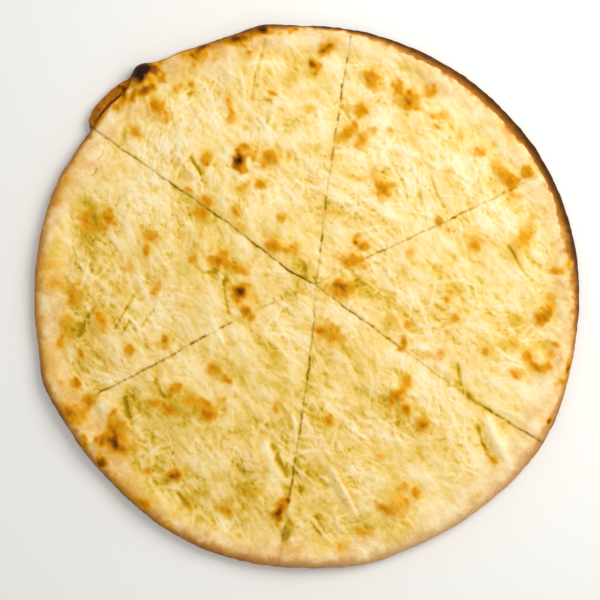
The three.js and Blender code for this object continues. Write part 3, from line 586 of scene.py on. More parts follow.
# The cut line: partly its oily brown edge, partly painted shade in its gap
CUT_LINE_AND_SHADE_COLOURS = ((0.4, (76, 40, 8)), (0.6, (124, 82, 24)))
UNDERSIDE_COLOURS = (
    (0.3, (112, 64, 20)), (0.38, (160, 102, 40)), (0.47, (206, 154, 82)), (0.7, (232, 194, 130)),
)
UNDERSIDE_FLOUR_COLOURS = ((0.4, (216, 170, 104)), (0.6, (240, 216, 172)))
CRUMB_COLOURS = ((0.3, (206, 164, 96)), (0.45, (240, 212, 150)), (0.7, (250, 230, 180)))
FLOOR_COLOUR = (252, 252, 250)

# The display's curve: end of its straight part, slope of that part, offset and power of the rest
CURVE_KNEE = 0.04045
CURVE_SLOPE = 12.92
CURVE_OFFSET = 0.055
CURVE_POWER = 2.4
BRIGHTEST = 255

# Middle value of a noise node, and the sockets of a mix node that carry colours
NOISE_MIDDLE = 0.5
MIX_FIRST = 6
MIX_SECOND = 7
MIX_RESULT = 2

# Pale floor: width, and gap below the loaf
FLOOR_WIDTH = 6000
FLOOR_GAP = 0.4

# Soft light: colour and strength of the room, then direction, distance, width, power and colour of the lamp
ROOM_COLOUR = (1.0, 0.99, 0.97, 1.0)
ROOM_STRENGTH = 0.56
LAMP_AROUND = math.radians(35)
LAMP_UP = math.radians(50)
LAMP_DISTANCE = 750
LAMP_WIDTH = 500
LAMP_POWER = 3.5
LAMP_COLOUR = (1.0, 0.97, 0.92)

# View from straight above: the point in its middle, the loaf's width in mm and in pixels, the pixels across
# the picture, and the lens and sensor
VIEW_CENTRE = (-3.25, -1.77)
VIEW_LOAF_WIDTH = 320
VIEW_LOAF_PIXELS = 541
VIEW_PIXELS = 600
LENS = 85.0
SENSOR = 36.0


def smooth_share(value, low, high):
    share = np.clip((value - low) / (high - low), 0, 1)
    return share * share * (3 - 2 * share)


def bell(distance, spread):
    return np.exp(-((distance / spread) ** 2))


def wave(run, length, phase):
    return np.sin(2 * math.pi * run / length + phase)


def turn_between(start, end):
    return (end - start + 180) % 360 - 180


def between_rows(place, rows, column=1):
    """A column's value between the rows of a list, by the place in their first column."""
    return np.interp(place, [row[0] for row in rows], [row[column] for row in rows])


def added(layers, shares):
    """Layers added up, each by its own share."""
    return sum(share * layers[name] for name, share in shares.items())


def outline_radius(degrees):
    radius = LOAF_RADIUS
    for middle, reach, spread in OUTLINE_BULGES:
        radius = radius + reach * bell(turn_between(middle, degrees), spread)
    return radius


def slope_share(degrees):
    return bell(turn_between(SLOPE_DEGREES, degrees), SLOPE_SPREAD)


def crest_inset(degrees):
    return CREST_INSET + SLOPE_EXTRA_INSET * slope_share(degrees)


def lip_share(degrees):
    rise = smooth_share(degrees, LIP_FROM - LIP_FADE_IN, LIP_FROM + LIP_FADE_IN)
    fall = smooth_share(degrees, LIP_TO - LIP_FADE_OUT, LIP_TO + LIP_FADE_OUT)
    return rise * (1 - fall)


def rim_rise(degrees):
    share = 1.0
    for count, phase, lump in RIM_LUMPS:
        share = share + lump * np.sin(count * np.radians(degrees) + phase)
    return RIM_RISE * share


def soft_noise(blob, seed, stretch):
    """Smooth noise over all cells, mean 0 and spread 1, with blobs stretched along the cheese's flow."""
    white = np.random.default_rng(seed).standard_normal((CELLS, CELLS))
    up = np.fft.fftfreq(CELLS, CELL)[:, None]
    right = np.fft.rfftfreq(CELLS, CELL)[None, :]
    along = right * math.cos(FLOW_TURN) + up * math.sin(FLOW_TURN)
    across = up * math.cos(FLOW_TURN) - right * math.sin(FLOW_TURN)
    sigma = blob / SIGMAS_IN_BLOB
    keep = np.exp(-2 * (math.pi * sigma) ** 2 * ((stretch * along) ** 2 + across ** 2))
    noise = np.fft.irfft2(np.fft.rfft2(white) * keep, s=(CELLS, CELLS))
    return (noise - noise.mean()) / noise.std()


def cells_near(x, y, reach):
    """The cells within a square round a point."""
    half = int(reach / CELL) + SPARE_CELLS
    column = int(round(x / CELL + MIDDLE_CELL))
    row = int(round(y / CELL + MIDDLE_CELL))
    rows = slice(max(0, row - half), min(CELLS, row + half + 1))
    columns = slice(max(0, column - half), min(CELLS, column + half + 1))
    return rows, columns


def turned_cells(window, x, y, turn):
    """Distances along and across a direction from a point, for the cells in a window."""
    right = GRID_X[window] - x
    up = GRID_Y[window] - y
    along = right * math.cos(turn) + up * math.sin(turn)
    across = up * math.cos(turn) - right * math.sin(turn)
    return along, across


def oval_distance(x, y, length, width, turn):
    """Cells round an oval patch, and how far out they lie: 1 on the oval's edge."""
    window = cells_near(x, y, PATCH_REACH * max(length, width))
    along, across = turned_cells(window, x, y, turn)
    return window, np.hypot(along / (length / 2), across / (width / 2))


def ragged_patch(mark, ragged, spread=PATCH_SPREAD, edge=PATCH_EDGE):
    """Cells round a patch with an uneven outline, and how fully they belong to it."""
    x, y, length, width, degrees = mark
    window, out = oval_distance(x, y, length, width, math.radians(degrees))
    out = np.clip(out * (1 + ragged[window]) / spread, 0, None)
    return window, np.exp(-PATCH_FADE * out ** edge)


def strand_distance(x, y, length, turn, bend):
    """Cells round a bent strand, and their distance from its middle line."""
    window = cells_near(x, y, length / 2 + abs(bend) + STRAND_REACH)
    along, across = turned_cells(window, x, y, turn)
    run = np.clip(along, -length / 2, length / 2)
    sideways = across + bend * (run / (length / 2)) ** 2
    return window, np.hypot(along - run, sideways)


def line_distance(points):
    """Cells round a line through points, and their distance from it."""
    points = np.array(points, float)
    middle = points.mean(axis=0)
    reach = np.abs(points - middle).max() + LINE_REACH
    window = cells_near(middle[0], middle[1], reach)
    distance = np.full(GRID_X[window].shape, np.inf)
    for start, end in zip(points[:-1], points[1:]):
        length = np.hypot(*(end - start))
        turn = math.atan2(end[1] - start[1], end[0] - start[0])
        along, across = turned_cells(window, start[0], start[1], turn)
        run = np.clip(along, 0, length)
        distance = np.minimum(distance, np.hypot(along - run, across))
    return window, distance


def cut_line(cut, run):
    """How far left of its straight line a cut lies along its run."""
    steps = np.linspace(0, LOAF_RADIUS, CUT_STEPS + 1)
    sideways = np.interp(run, steps, CUTS[cut][1])
    cut_phase, wave_phase = WANDER_PHASES
    wander = 0.0
    for number, (length, reach) in enumerate(CUT_WANDER):
        wander = wander + reach * wave(run, length, cut_phase * cut + wave_phase * number)
    return sideways + wander * smooth_share(run, 0, WANDER_START)


def cut_gape(cut, run):
    """How wide a cut gapes at the top along its run, more or less open and shut in short dashes."""
    dashes = LONG_STRENGTH
    for length, phase in LONG_DASHES:
        dashes = dashes * wave(run, length, phase * cut)
    length, phase = SHORT_DASHES
    dashes = dashes + SHORT_STRENGTH * wave(run, length, phase * cut)
    gape = between_rows(run, CUT_GAPES[cut]) * (1 + DASH_SHARE * dashes)
    return np.maximum(gape, 0)


def nearest_cut():
    """Distance from every cell to the nearest cut, and how wide that cut gapes beside it."""
    right = GRID_X - CUT_CENTRE[0]
    up = GRID_Y - CUT_CENTRE[1]
    nearest = np.hypot(right, up)
    gape = np.zeros_like(nearest)
    for cut in range(len(CUTS)):
        turn = math.radians(CUTS[cut][0])
        run = right * math.cos(turn) + up * math.sin(turn)
        left = up * math.cos(turn) - right * math.sin(turn)
        sideways = np.abs(left - cut_line(cut, run))
        closer = (run > 0) & (sideways < nearest)
        nearest = np.where(closer, sideways, nearest)
        gape = np.where(closer, cut_gape(cut, run), gape)
    return nearest, gape


def beside_cut(to_cut, parted, mark):
    """What a cut's mark amounts to at a distance from it."""
    spread, shut, gaping = mark
    return (shut + gaping * parted) * bell(to_cut, spread)


def fixed_draw(shred, use):
    """A number from 0 to 1 for each shred and use, the same one that the solids have."""
    value = math.sin(shred * DRAW_STEPS[0] + use * DRAW_STEPS[1]) * DRAW_SCALE
    return value - math.floor(value)


def drawn_place(rng):
    """A place drawn evenly over the cheese."""
    radius = CHEESE_RADIUS * math.sqrt(rng.random())
    around = 2 * math.pi * rng.random()
    return radius * math.cos(around), radius * math.sin(around)


def value_near(field, x, y):
    return field[cells_near(x, y, 0)].mean()


def drawn_strokes(kind, flow, rng):
    """Strokes along a slow flow of directions: the width of each, its cells and their distance from it."""
    count, lengths, widths, swing = kind
    for stroke in range(count):
        x, y = drawn_place(rng)
        length = rng.uniform(*lengths)
        width = rng.uniform(*widths)
        bend = rng.uniform(-STROKE_BEND, STROKE_BEND) * length / lengths[1]
        turn = value_near(flow, x, y) + rng.normal(0, swing)
        yield width, *strand_distance(x, y, length, turn, bend)


def lifted_strokes(strokes, rng):
    """Flat strokes that lie over each other, each as high and pale as its own lift, with mean 0; the
    paleness is partly painted highlight.
    """
    lifted = np.zeros_like(GRID_X)
    for width, window, distance in strokes:
        stroke = rng.uniform(*STROKE_LIFT) * np.exp(-((distance / (width / 2)) ** STROKE_EDGE))
        lifted[window] = np.maximum(lifted[window], stroke)
    return lifted - lifted.mean()


def sunken_strokes(strokes):
    """Thin hollows, with mean 0 and spread 1 before they are kept within a range."""
    sunken = np.zeros_like(GRID_X)
    for width, window, distance in strokes:
        sunken[window] += bell(distance, width / 2)
    return np.clip((sunken - sunken.mean()) / sunken.std(), *VALLEY_RANGE)


def shred_lumps():
    """The long shreds of the solids, melted down at their edges: 1 along their middle."""
    lumps = np.zeros_like(GRID_X)
    for shred in range(SHRED_COUNT):
        radius = SHRED_FIELD_RADIUS * math.sqrt((shred + 0.5) / SHRED_COUNT)
        x = radius * math.cos(shred * GOLDEN_ANGLE)
        y = radius * math.sin(shred * GOLDEN_ANGLE)
        length = SHRED_LENGTH * (SHORTEST_SHRED + SHRED_STRETCH * fixed_draw(shred, LENGTH_DRAW))
        turn = math.pi * fixed_draw(shred, TURN_DRAW)
        bend = SHRED_BEND * (2 * fixed_draw(shred, BEND_DRAW) - 1)
        window, distance = strand_distance(x, y, length, turn, bend)
        lumps[window] = np.maximum(lumps[window], bell(distance, SHRED_WIDTH / SPREADS_IN_WIDTH))
    return lumps


def pit_hollows(flow, crowding, rng):
    """Small oily pits, closer together where they crowd: 1 in the middle of the deepest."""
    hollows = np.zeros_like(GRID_X)
    for pit in range(PIT_COUNT):
        x, y = drawn_place(rng)
        length = rng.uniform(*PIT_LENGTH)
        width = rng.uniform(*PIT_WIDTH)
        depth = rng.uniform(*PIT_DEPTH) / PIT_DEPTH[1]
        turn = value_near(flow, x, y) + rng.normal(0, PIT_SWING)
        if rng.normal(0, 1) < value_near(crowding, x, y) + PIT_READINESS:
            window, out = oval_distance(x, y, length, width, turn)
            hollows[window] = np.maximum(hollows[window], depth * np.exp(-PATCH_FADE * out ** PATCH_EDGE))
    return hollows


def cheese_layers(flow, crowding):
    """Folds, strands, valleys, shreds and pits of the cheese, drawn in a fixed order."""
    rng = np.random.default_rng(STROKE_SEED)
    return {
        "folds": lifted_strokes(drawn_strokes(FOLDS, flow, rng), rng),
        "strands": lifted_strokes(drawn_strokes(STRANDS, flow, rng), rng),
        "valleys": sunken_strokes(drawn_strokes(VALLEYS, flow, rng)),
        "shreds": shred_lumps(),
        "pits": pit_hollows(flow, crowding, rng),
    }


def cells_from_edge():
    """Direction of every cell in degrees, and how far in from the loaf's widest line it lies."""
    degrees = np.degrees(np.arctan2(GRID_Y, GRID_X))
    return degrees, outline_radius(degrees) - np.hypot(GRID_X, GRID_Y)


def loaf_height():
    """Height of the plain loaf with its rim and waves."""
    degrees, from_edge = cells_from_edge()
    inwards = from_edge - crest_inset(degrees)
    height = CENTRE_THICKNESS + rim_rise(degrees) * (1 - smooth_share(inwards, 0, RIM_BAND))
    for length_x, length_y, phase, rise in WAVES:
        height = height + rise * np.sin(2 * math.pi * (GRID_X / length_x + GRID_Y / length_y) + phase)
    return height


def cheese_cover(mottle):
    """How fully the cheese covers the dough: it thins out near the rim along an uneven line."""
    from_edge = cells_from_edge()[1]
    line = LOAF_RADIUS - CHEESE_RADIUS + CHEESE_WANDER * mottle
    return smooth_share(from_edge, line - CHEESE_EDGE / 2, line + CHEESE_EDGE / 2)


def blister_lumps():
    """Blisters as height in mm, and as the smooth dough on them: 1 at their tops."""
    height = np.zeros_like(GRID_X)
    dough = np.zeros_like(GRID_X)
    for x, y, length, width, turn, rise in BLISTERS:
        window, out = oval_distance(x, y, length, width, math.radians(turn))
        lump = np.clip(1 - out ** 2, 0, 1) ** 2
        height[window] += rise * lump
        dough[window] = np.maximum(dough[window], lump)
    return height, dough


def laid_patches(marks, ragged):
    """Patches from a list of marks: their amounts added up, and the greatest of them at every cell."""
    total = np.zeros_like(GRID_X)
    greatest = np.zeros_like(GRID_X)
    for *mark, amount in marks:
        window, patch = ragged_patch(mark, ragged)
        total[window] += amount * patch
        greatest[window] = np.maximum(greatest[window], amount * patch)
    return total, greatest


def toasted_spots(ragged):
    """Depth of toasting, with spots that join, and the oily halo round them."""
    toast = np.zeros_like(GRID_X)
    halo = np.zeros_like(GRID_X)
    for *mark, depth in TOASTED:
        window, spot = ragged_patch(mark, ragged, PATCH_SPREAD, TOAST_EDGE)
        toast[window] += (depth * spot) ** TOAST_BLEND
        window, ring = ragged_patch(mark, ragged, HALO_SPREAD)
        halo[window] += depth * ring
    return toast ** (1 / TOAST_BLEND), halo


def crease_layers(ragged):
    """Creases as depth, as darker colour that is partly oil and partly painted shade, and as the cheese in
    them, then ridges as rise and as lines.
    """
    names = ("creases", "crease_oil_and_shade", "crease_cheese", "ridges", "ridge_line")
    layers = {name: np.zeros_like(GRID_X) for name in names}
    for width, sink, colour, *points in CREASES:
        window, distance = line_distance(points)
        groove = bell(distance * (1 + ragged[window]), width)
        layers["creases"][window] += sink * groove
        layers["crease_oil_and_shade"][window] += colour * groove
        cheese = layers["crease_cheese"]
        cheese[window] = np.maximum(cheese[window], min(colour, 1) * groove)
    for width, rise, *points in RIDGES:
        window, distance = line_distance(points)
        crest = bell(distance * (1 + ragged[window]), width)
        layers["ridges"][window] += rise * crest
        layers["ridge_line"][window] += crest
    return layers


def baked_top():
    """Relief and colour of the whole top: height in mm, and the shares of each finish."""
    layers = {name: soft_noise(*noise) for name, *noise in TOP_NOISES}
    ragged = added(layers, RAG_SHARES)
    flow = FLOW_TURN + FLOW_CHANGE * (GRID_X - GRID_Y) + FLOW_SWAY * layers["turning"]
    melted = smooth_share(layers["melting"], *MELT_RANGE)
    cheese = cheese_cover(layers["mottle"])

    blisters, smooth_dough = blister_lumps()
    layers["oily_and_shade"], deepest_oil_and_shade = laid_patches(OILY_AND_SHADE, ragged)
    layers["pale"], palest = laid_patches(PALE, ragged)
    toast, layers["halo"] = toasted_spots(ragged)
    layers["browned"] = np.minimum(toast, 1)
    layers.update(crease_layers(ragged))

    covered = cheese * (1 - DOUGH_COVER * np.maximum(smooth_dough, palest))
    covered *= (1 - MELT_COVER * melted) * (1 - TOAST_COVER * layers["browned"])
    for name, layer in cheese_layers(flow, layers["mottle"]).items():
        layers[name] = covered * layer

    to_cut, gape = nearest_cut()
    parted = np.minimum(gape / WIDE_GAPE, 1)
    height = loaf_height() + blisters + added(layers, RELIEF_SHARES)
    height -= beside_cut(to_cut, parted, CUT_GROOVE) + beside_cut(to_cut, parted, CUT_DIP)
    # Painted light: the tone rises towards the lamp's side at the upper right
    tone = TONE_MIDDLE + PAINTED_LIGHT_SLANT * (GRID_X + GRID_Y) + added(layers, TONE_SHARES)
    # Darker beside the cuts: partly their oily edge, partly painted shade in the gap
    tone -= beside_cut(to_cut, parted, CUT_SHADE) + beside_cut(to_cut, parted, CUT_GAP_SHADE)
    mottled = 1 - EVEN_SHARE * smooth_share(toast, *EVEN_TOAST)
    cheese = np.maximum.reduce((cheese, np.minimum(deepest_oil_and_shade, 1), layers["crease_cheese"]))
    return {
        "height": height,
        "tone": tone,
        "toast": toast * (1 + mottled * added(layers, TOAST_SHARES)),
        "rim": 1 - cheese,
        # The cut line's colour: partly its oily brown edge, partly painted shade in its gap
        "cut": beside_cut(to_cut, parted, CUT_LINE_AND_SHADE),
        "crust": added(layers, CRUST_SHARES),
    }


def at_points(field, x, y):
    """A field's value between its cells."""
    column = np.clip(x / CELL + MIDDLE_CELL, 0, LAST_CELL)
    row = np.clip(y / CELL + MIDDLE_CELL, 0, LAST_CELL)
    left = column.astype(int)
    low = row.astype(int)
    part_x = column - left
    part_y = row - low
    lower = field[low, left] * (1 - part_x) + field[low, left + 1] * part_x
    upper = field[low + 1, left] * (1 - part_x) + field[low + 1, left + 1] * part_x
    return lower * (1 - part_y) + upper * part_y


def slice_blank():
    """A flat triangle cut fine, with a skirt of rows below its border and a closed underside."""
    bpy.ops.object.select_all(action="DESELECT")
    bpy.ops.mesh.primitive_circle_add(vertices=3, radius=1, fill_type="NGON")
    blank = bpy.context.object
    for vertex, corner in zip(blank.data.vertices, SHEET_CORNERS):
        vertex.co = corner
    bpy.ops.object.mode_set(mode="EDIT")
    bpy.ops.mesh.select_all(action="SELECT")
    for cuts in SHEET_CUTS:
        bpy.ops.mesh.subdivide(number_cuts=cuts)
    bpy.ops.mesh.select_mode(type="EDGE")
    bpy.ops.mesh.select_all(action="SELECT")
    bpy.ops.mesh.region_to_loop()
    for row in range(SKIRT_ROWS):
        bpy.ops.mesh.extrude_edges_move(TRANSFORM_OT_translate={"value": (0, 0, -1)})
    bpy.ops.mesh.edge_face_add()
    bpy.ops.mesh.select_all(action="SELECT")
    bpy.ops.mesh.normals_make_consistent(inside=False)
    bpy.ops.object.mode_set(mode="OBJECT")
    return blank


def blank_places(mesh):
    """Where a blank's points lie: ring out from the tip, step across the ring, row down the skirt."""
    points = np.empty(3 * len(mesh.vertices))
    mesh.vertices.foreach_get("co", points)
    points = points.reshape(-1, 3)
    ring = np.rint(points[:, 0] * SHEET_STEPS)
    across = np.rint(points[:, 1] * SHEET_STEPS)
    row = np.rint(-points[:, 2])
    return ring, across, row


def rim_reach(theta):
    """Distance from the crossing point to the widest line, and that place's direction from the origin."""
    reach = np.full_like(theta, LOAF_RADIUS)
    for step in range(REACH_ROUNDS):
        x = CUT_CENTRE[0] + reach * np.cos(theta)
        y = CUT_CENTRE[1] + reach * np.sin(theta)
        degrees = np.degrees(np.arctan2(y, x))
        reach = reach + outline_radius(degrees) - np.hypot(x, y)
    return reach, degrees


def lip_section(share, degrees, crest_height):
    """Inset and height of the torn lip from the crest, share 0, to its widest line, share 1."""
    insets, open_shares = zip((CREST_INSET, 1.0), *LIP_UPPER)
    shut_shares = [max(height, SHALLOW_SLIT) for height in open_shares[:-1]] + [open_shares[-1]]
    steps = np.linspace(0, 1, len(insets))
    inset = np.interp(share, steps, insets)
    inset = np.where(inset < 0, inset * between_rows(degrees, LIP_REACH), inset)
    open_share = np.interp(share, steps, open_shares)
    shut_share = np.interp(share, steps, shut_shares)
    height = (shut_share + (open_share - shut_share) * between_rows(degrees, LIP_SLIT)) * crest_height
    return inset, height


def upper_edge(share, degrees, crest_height):
    """Inset and height of the crust from its crest, share 0, to its widest line, share 1."""
    slope = slope_share(degrees)
    angle = share * math.pi / 2
    inwards = (1 - np.sin(angle)) * (1 - slope) + (1 - share) * slope
    upwards = np.cos(angle) * (1 - slope) + (1 - share) * slope
    inset = crest_inset(degrees) * inwards
    height = WAIST_HEIGHT + (crest_height - WAIST_HEIGHT) * upwards
    lip = lip_share(degrees)
    lip_inset, lip_height = lip_section(share, degrees, crest_height)
    return inset + (lip_inset - inset) * lip, height + (lip_height - height) * lip


def lower_inset(drop, degrees):
    """Inset of the crust from its widest line, drop 0, to its foot, drop 1."""
    lip = lip_share(degrees)
    reach = between_rows(degrees, LIP_REACH)
    foot = FOOT_INSET * (1 - lip) + LIP_FOOT_INSET * reach * lip
    waist = LIP_UPPER[-1][0] * reach * lip
    return waist + (foot - waist) * (1 - np.cos(drop * math.pi / 2))


def round_the_edge(field, degrees, down):
    """A field wrapped round the loaf's edge, by direction and by distance down the crust."""
    along = np.mod(degrees / 360 * EDGE_WRAPS + 0.5, 1) - 0.5
    return at_points(field, along * CELLS * CELL, down)


def side_shift(cut, radius, closing, side):
    """How far left of a cut's straight line a slice runs: side 1 is left of the cut, -1 right."""
    gap = np.maximum(cut_gape(cut, radius) * closing, NARROWEST_GAPE)
    return cut_line(cut, radius) + side * gap / 2


def edge_browning_and_shade(degrees, inset, crust):
    """How brown the outer edge is at an inset from its widest line, its darkest outer line partly painted
    shade: sharp-edged on the slope side.
    """
    around = np.mod(degrees, 360)
    starts = between_rows(around, EDGE_BROWNING_AND_SHADE, 1)
    strengths = between_rows(around, EDGE_BROWNING_AND_SHADE, 2)
    slope = smooth_share(slope_share(degrees), *SHARP_RANGE)
    starts = starts * (1 + EDGE_STRAY * crust * (1 - SHARP_STEADY * slope))
    outwards = np.clip(1 - inset / np.maximum(starts, LEAST_BROWNING), 0, 1)
    sharp = SHARP_PART * smooth_share(outwards, 0, SHARP_START) + (1 - SHARP_PART) * outwards
    soft = outwards ** EDGE_FALL
    glow = SLOPE_GLOW * np.clip(1 - inset / GLOW_WIDTH, 0, 1) * (1 + GLOW_STRAY * crust)
    glow = glow * np.clip(GLOW_HOLD * slope_share(degrees), 0, 1)
    return np.maximum(strengths * (soft + (sharp - soft) * slope), glow)


def colour_points(mesh, colours):
    """Keeps the shares of each finish with the points, for the materials to read."""
    for name, values in colours.items():
        attribute = mesh.attributes.new(name, "FLOAT", "POINT")
        attribute.data.foreach_set("value", values.astype(np.float32))


def finish_faces(mesh, row, on_side, on_arc):
    """Gives the underside its crust, the cut walls their crumb, and all other faces the baked top."""
    materials = np.full(len(mesh.polygons), TOP_MATERIAL)
    for face in mesh.polygons:
        corners = list(face.vertices)
        if row[corners].min() == SKIRT_ROWS:
            materials[face.index] = CRUST_MATERIAL
        elif row[corners].max() > 0 and on_side[corners].all() and not on_arc[corners].all():
            materials[face.index] = CRUMB_MATERIAL
    mesh.polygons.foreach_set("material_index", materials)


def shape_slice(piece, index, top):
    """Moves a blank's points to one slice of the loaf, and gives them its baked colours."""
    mesh = piece.data
    ring, across, row = blank_places(mesh)
    out = ring / SHEET_STEPS
    turn = np.where(ring > 0, across / np.maximum(ring, 1), 0.5)
    drop = row / SKIRT_ROWS
    on_arc = ring == SHEET_STEPS
    on_side = (across == 0) | (across == ring)

    next_cut = (index + 1) % len(CUTS)
    from_degrees = CUTS[index][0]
    opening = (CUTS[next_cut][0] - from_degrees) % 360
    theta = np.radians(from_degrees + turn * opening)
    reach, degrees = rim_reach(theta)
    inset = crest_inset(degrees)
    crest_x = CUT_CENTRE[0] + (reach - inset) * np.cos(theta)
    crest_y = CUT_CENTRE[1] + (reach - inset) * np.sin(theta)
    crest_height = at_points(top["height"], crest_x, crest_y)

    lip = lip_share(degrees)
    edge_length = inset + EDGE_HEIGHT_SHARE * (crest_height - WAIST_HEIGHT) + LIP_LENGTH * lip
    crest_out = (reach - inset) / (reach - inset + edge_length)
    edge_share = np.clip((out - crest_out) / (1 - crest_out), 0, 1)
    edge_inset, edge_height = upper_edge(edge_share, degrees, crest_height)
    radius = np.where(out <= crest_out, out / crest_out * (reach - inset), reach - edge_inset)
    radius = np.where(row > 0, np.minimum(radius, reach - lower_inset(drop, degrees)), radius)
    crust = round_the_edge(top["crust"], degrees, edge_share * edge_length + drop * WAIST_HEIGHT)
    radius = radius + CRUST_RELIEF * crust * smooth_share(edge_share, *CRUST_RANGE) * (1 - drop)

    closing = OPEN_SHARE * (1 + (GAPE_AT_FOOT - 1) * drop)
    from_shift = side_shift(index, radius, closing, 1) * (1 - turn) ** 2
    to_shift = side_shift(next_cut, radius, closing, -1) * turn ** 2
    from_left = np.radians(from_degrees + 90)
    to_left = np.radians(from_degrees + opening + 90)
    x = CUT_CENTRE[0] + radius * np.cos(theta) + from_shift * np.cos(from_left) + to_shift * np.cos(to_left)
    y = CUT_CENTRE[1] + radius * np.sin(theta) + from_shift * np.sin(from_left) + to_shift * np.sin(to_left)
    on_top = np.where(edge_share > 0, edge_height, at_points(top["height"], x, y))
    z = on_top * np.where(on_arc, 1 - np.sin(drop * math.pi / 2), 1 - drop)
    mesh.vertices.foreach_set("co", (np.stack((x, y, z), axis=1) * MM).ravel())

    # Browning of the edge, its dark outer line partly painted shade
    brown_and_shade = edge_browning_and_shade(degrees, reach - radius, crust)
    skirt_brown = SKIRT_BROWN + SKIRT_STRAY * crust + FOOT_BROWN * drop
    toast = at_points(top["toast"], x, y)
    light = 1 - smooth_share(toast, *DEEP_TOAST_RANGE)
    colour_points(mesh, {
        "tone": at_points(top["tone"], x, y),
        "toast": toast * (1 - TOAST_FADE * smooth_share(edge_share, *TOAST_FADE_RANGE) * light),
        "rim": at_points(top["rim"], x, y),
        "cut": at_points(top["cut"], x, y),
        "brown_and_shade": np.where(on_arc, np.maximum(brown_and_shade, skirt_brown), brown_and_shade),
        "lip": lip * smooth_share(edge_share, *LIP_COLOUR_RANGE),
        "flour": FLOUR_SHARE * bell(turn_between(FLOUR_DEGREES, degrees), FLOUR_SPREAD),
    })
    finish_faces(mesh, row, on_side, on_arc)
    mesh.update()


def linear(red, green, blue):
    """A display colour of 0 to 255 as the shader's linear colour."""
    channels = []
    for value in (red, green, blue):
        share = value / BRIGHTEST
        curved = ((share + CURVE_OFFSET) / (1 + CURVE_OFFSET)) ** CURVE_POWER
        channels.append(share / CURVE_SLOPE if share <= CURVE_KNEE else curved)
    return (*channels, 1.0)


def new_material(name, specular):
    material = bpy.data.materials.new(name)
    material.use_nodes = True
    shader = material.node_tree.nodes["Principled BSDF"]
    shader.inputs["Specular IOR Level"].default_value = specular
    return material, shader


def attribute_node(tree, name):
    node = tree.nodes.new("ShaderNodeAttribute")
    node.attribute_name = name
    return node.outputs["Fac"]


def noise_node(tree, size, detail=3.0, rough=0.55):
    """Noise with blobs of a size in mm."""
    place = tree.nodes.new("ShaderNodeTexCoord")
    node = tree.nodes.new("ShaderNodeTexNoise")
    node.inputs["Scale"].default_value = 1 / (size * MM)
    node.inputs["Detail"].default_value = detail
    node.inputs["Roughness"].default_value = rough
    tree.links.new(place.outputs["Object"], node.inputs["Vector"])
    return node.outputs["Fac"]


def math_node(tree, operation, first, second):
    node = tree.nodes.new("ShaderNodeMath")
    node.operation = operation
    for socket, value in zip(node.inputs, (first, second)):
        if isinstance(value, (int, float)):
            socket.default_value = value
        else:
            tree.links.new(value, socket)
    return node.outputs["Value"]


def stirred(tree, value, noise, amount):
    """A value moved up and down by noise round its middle."""
    shift = math_node(tree, "MULTIPLY", math_node(tree, "SUBTRACT", noise, NOISE_MIDDLE), amount)
    return math_node(tree, "ADD", value, shift)


def ramp_node(tree, factor, stops):
    """Colours along a factor, each as a place from 0 to 1 and a display colour."""
    node = tree.nodes.new("ShaderNodeValToRGB")
    elements = node.color_ramp.elements
    while len(elements) < len(stops):
        elements.new(0.5)
    for element, (place, colour) in zip(elements, stops):
        element.position = place
        element.color = linear(*colour)
    tree.links.new(factor, node.inputs["Fac"])
    return node.outputs["Color"]


def mix_node(tree, factor, first, second, blend="MIX"):
    node = tree.nodes.new("ShaderNodeMix")
    node.data_type = "RGBA"
    node.blend_type = blend
    tree.links.new(factor, node.inputs["Factor"])
    tree.links.new(first, node.inputs[MIX_FIRST])
    tree.links.new(second, node.inputs[MIX_SECOND])
    return node.outputs[MIX_RESULT]


def range_node(tree, value, start, end, to_start=0.0, to_end=1.0, blend="SMOOTHSTEP"):
    node = tree.nodes.new("ShaderNodeMapRange")
    node.interpolation_type = blend
    tree.links.new(value, node.inputs["Value"])
    node.inputs["From Min"].default_value = start
    node.inputs["From Max"].default_value = end
    node.inputs["To Min"].default_value = to_start
    node.inputs["To Max"].default_value = to_end
    return node.outputs["Result"]


def bump_node(tree, shader, height, strength, distance):
    node = tree.nodes.new("ShaderNodeBump")
    node.inputs["Strength"].default_value = strength
    node.inputs["Distance"].default_value = distance * MM
    tree.links.new(height, node.inputs["Height"])
    tree.links.new(node.outputs["Normal"], shader.inputs["Normal"])


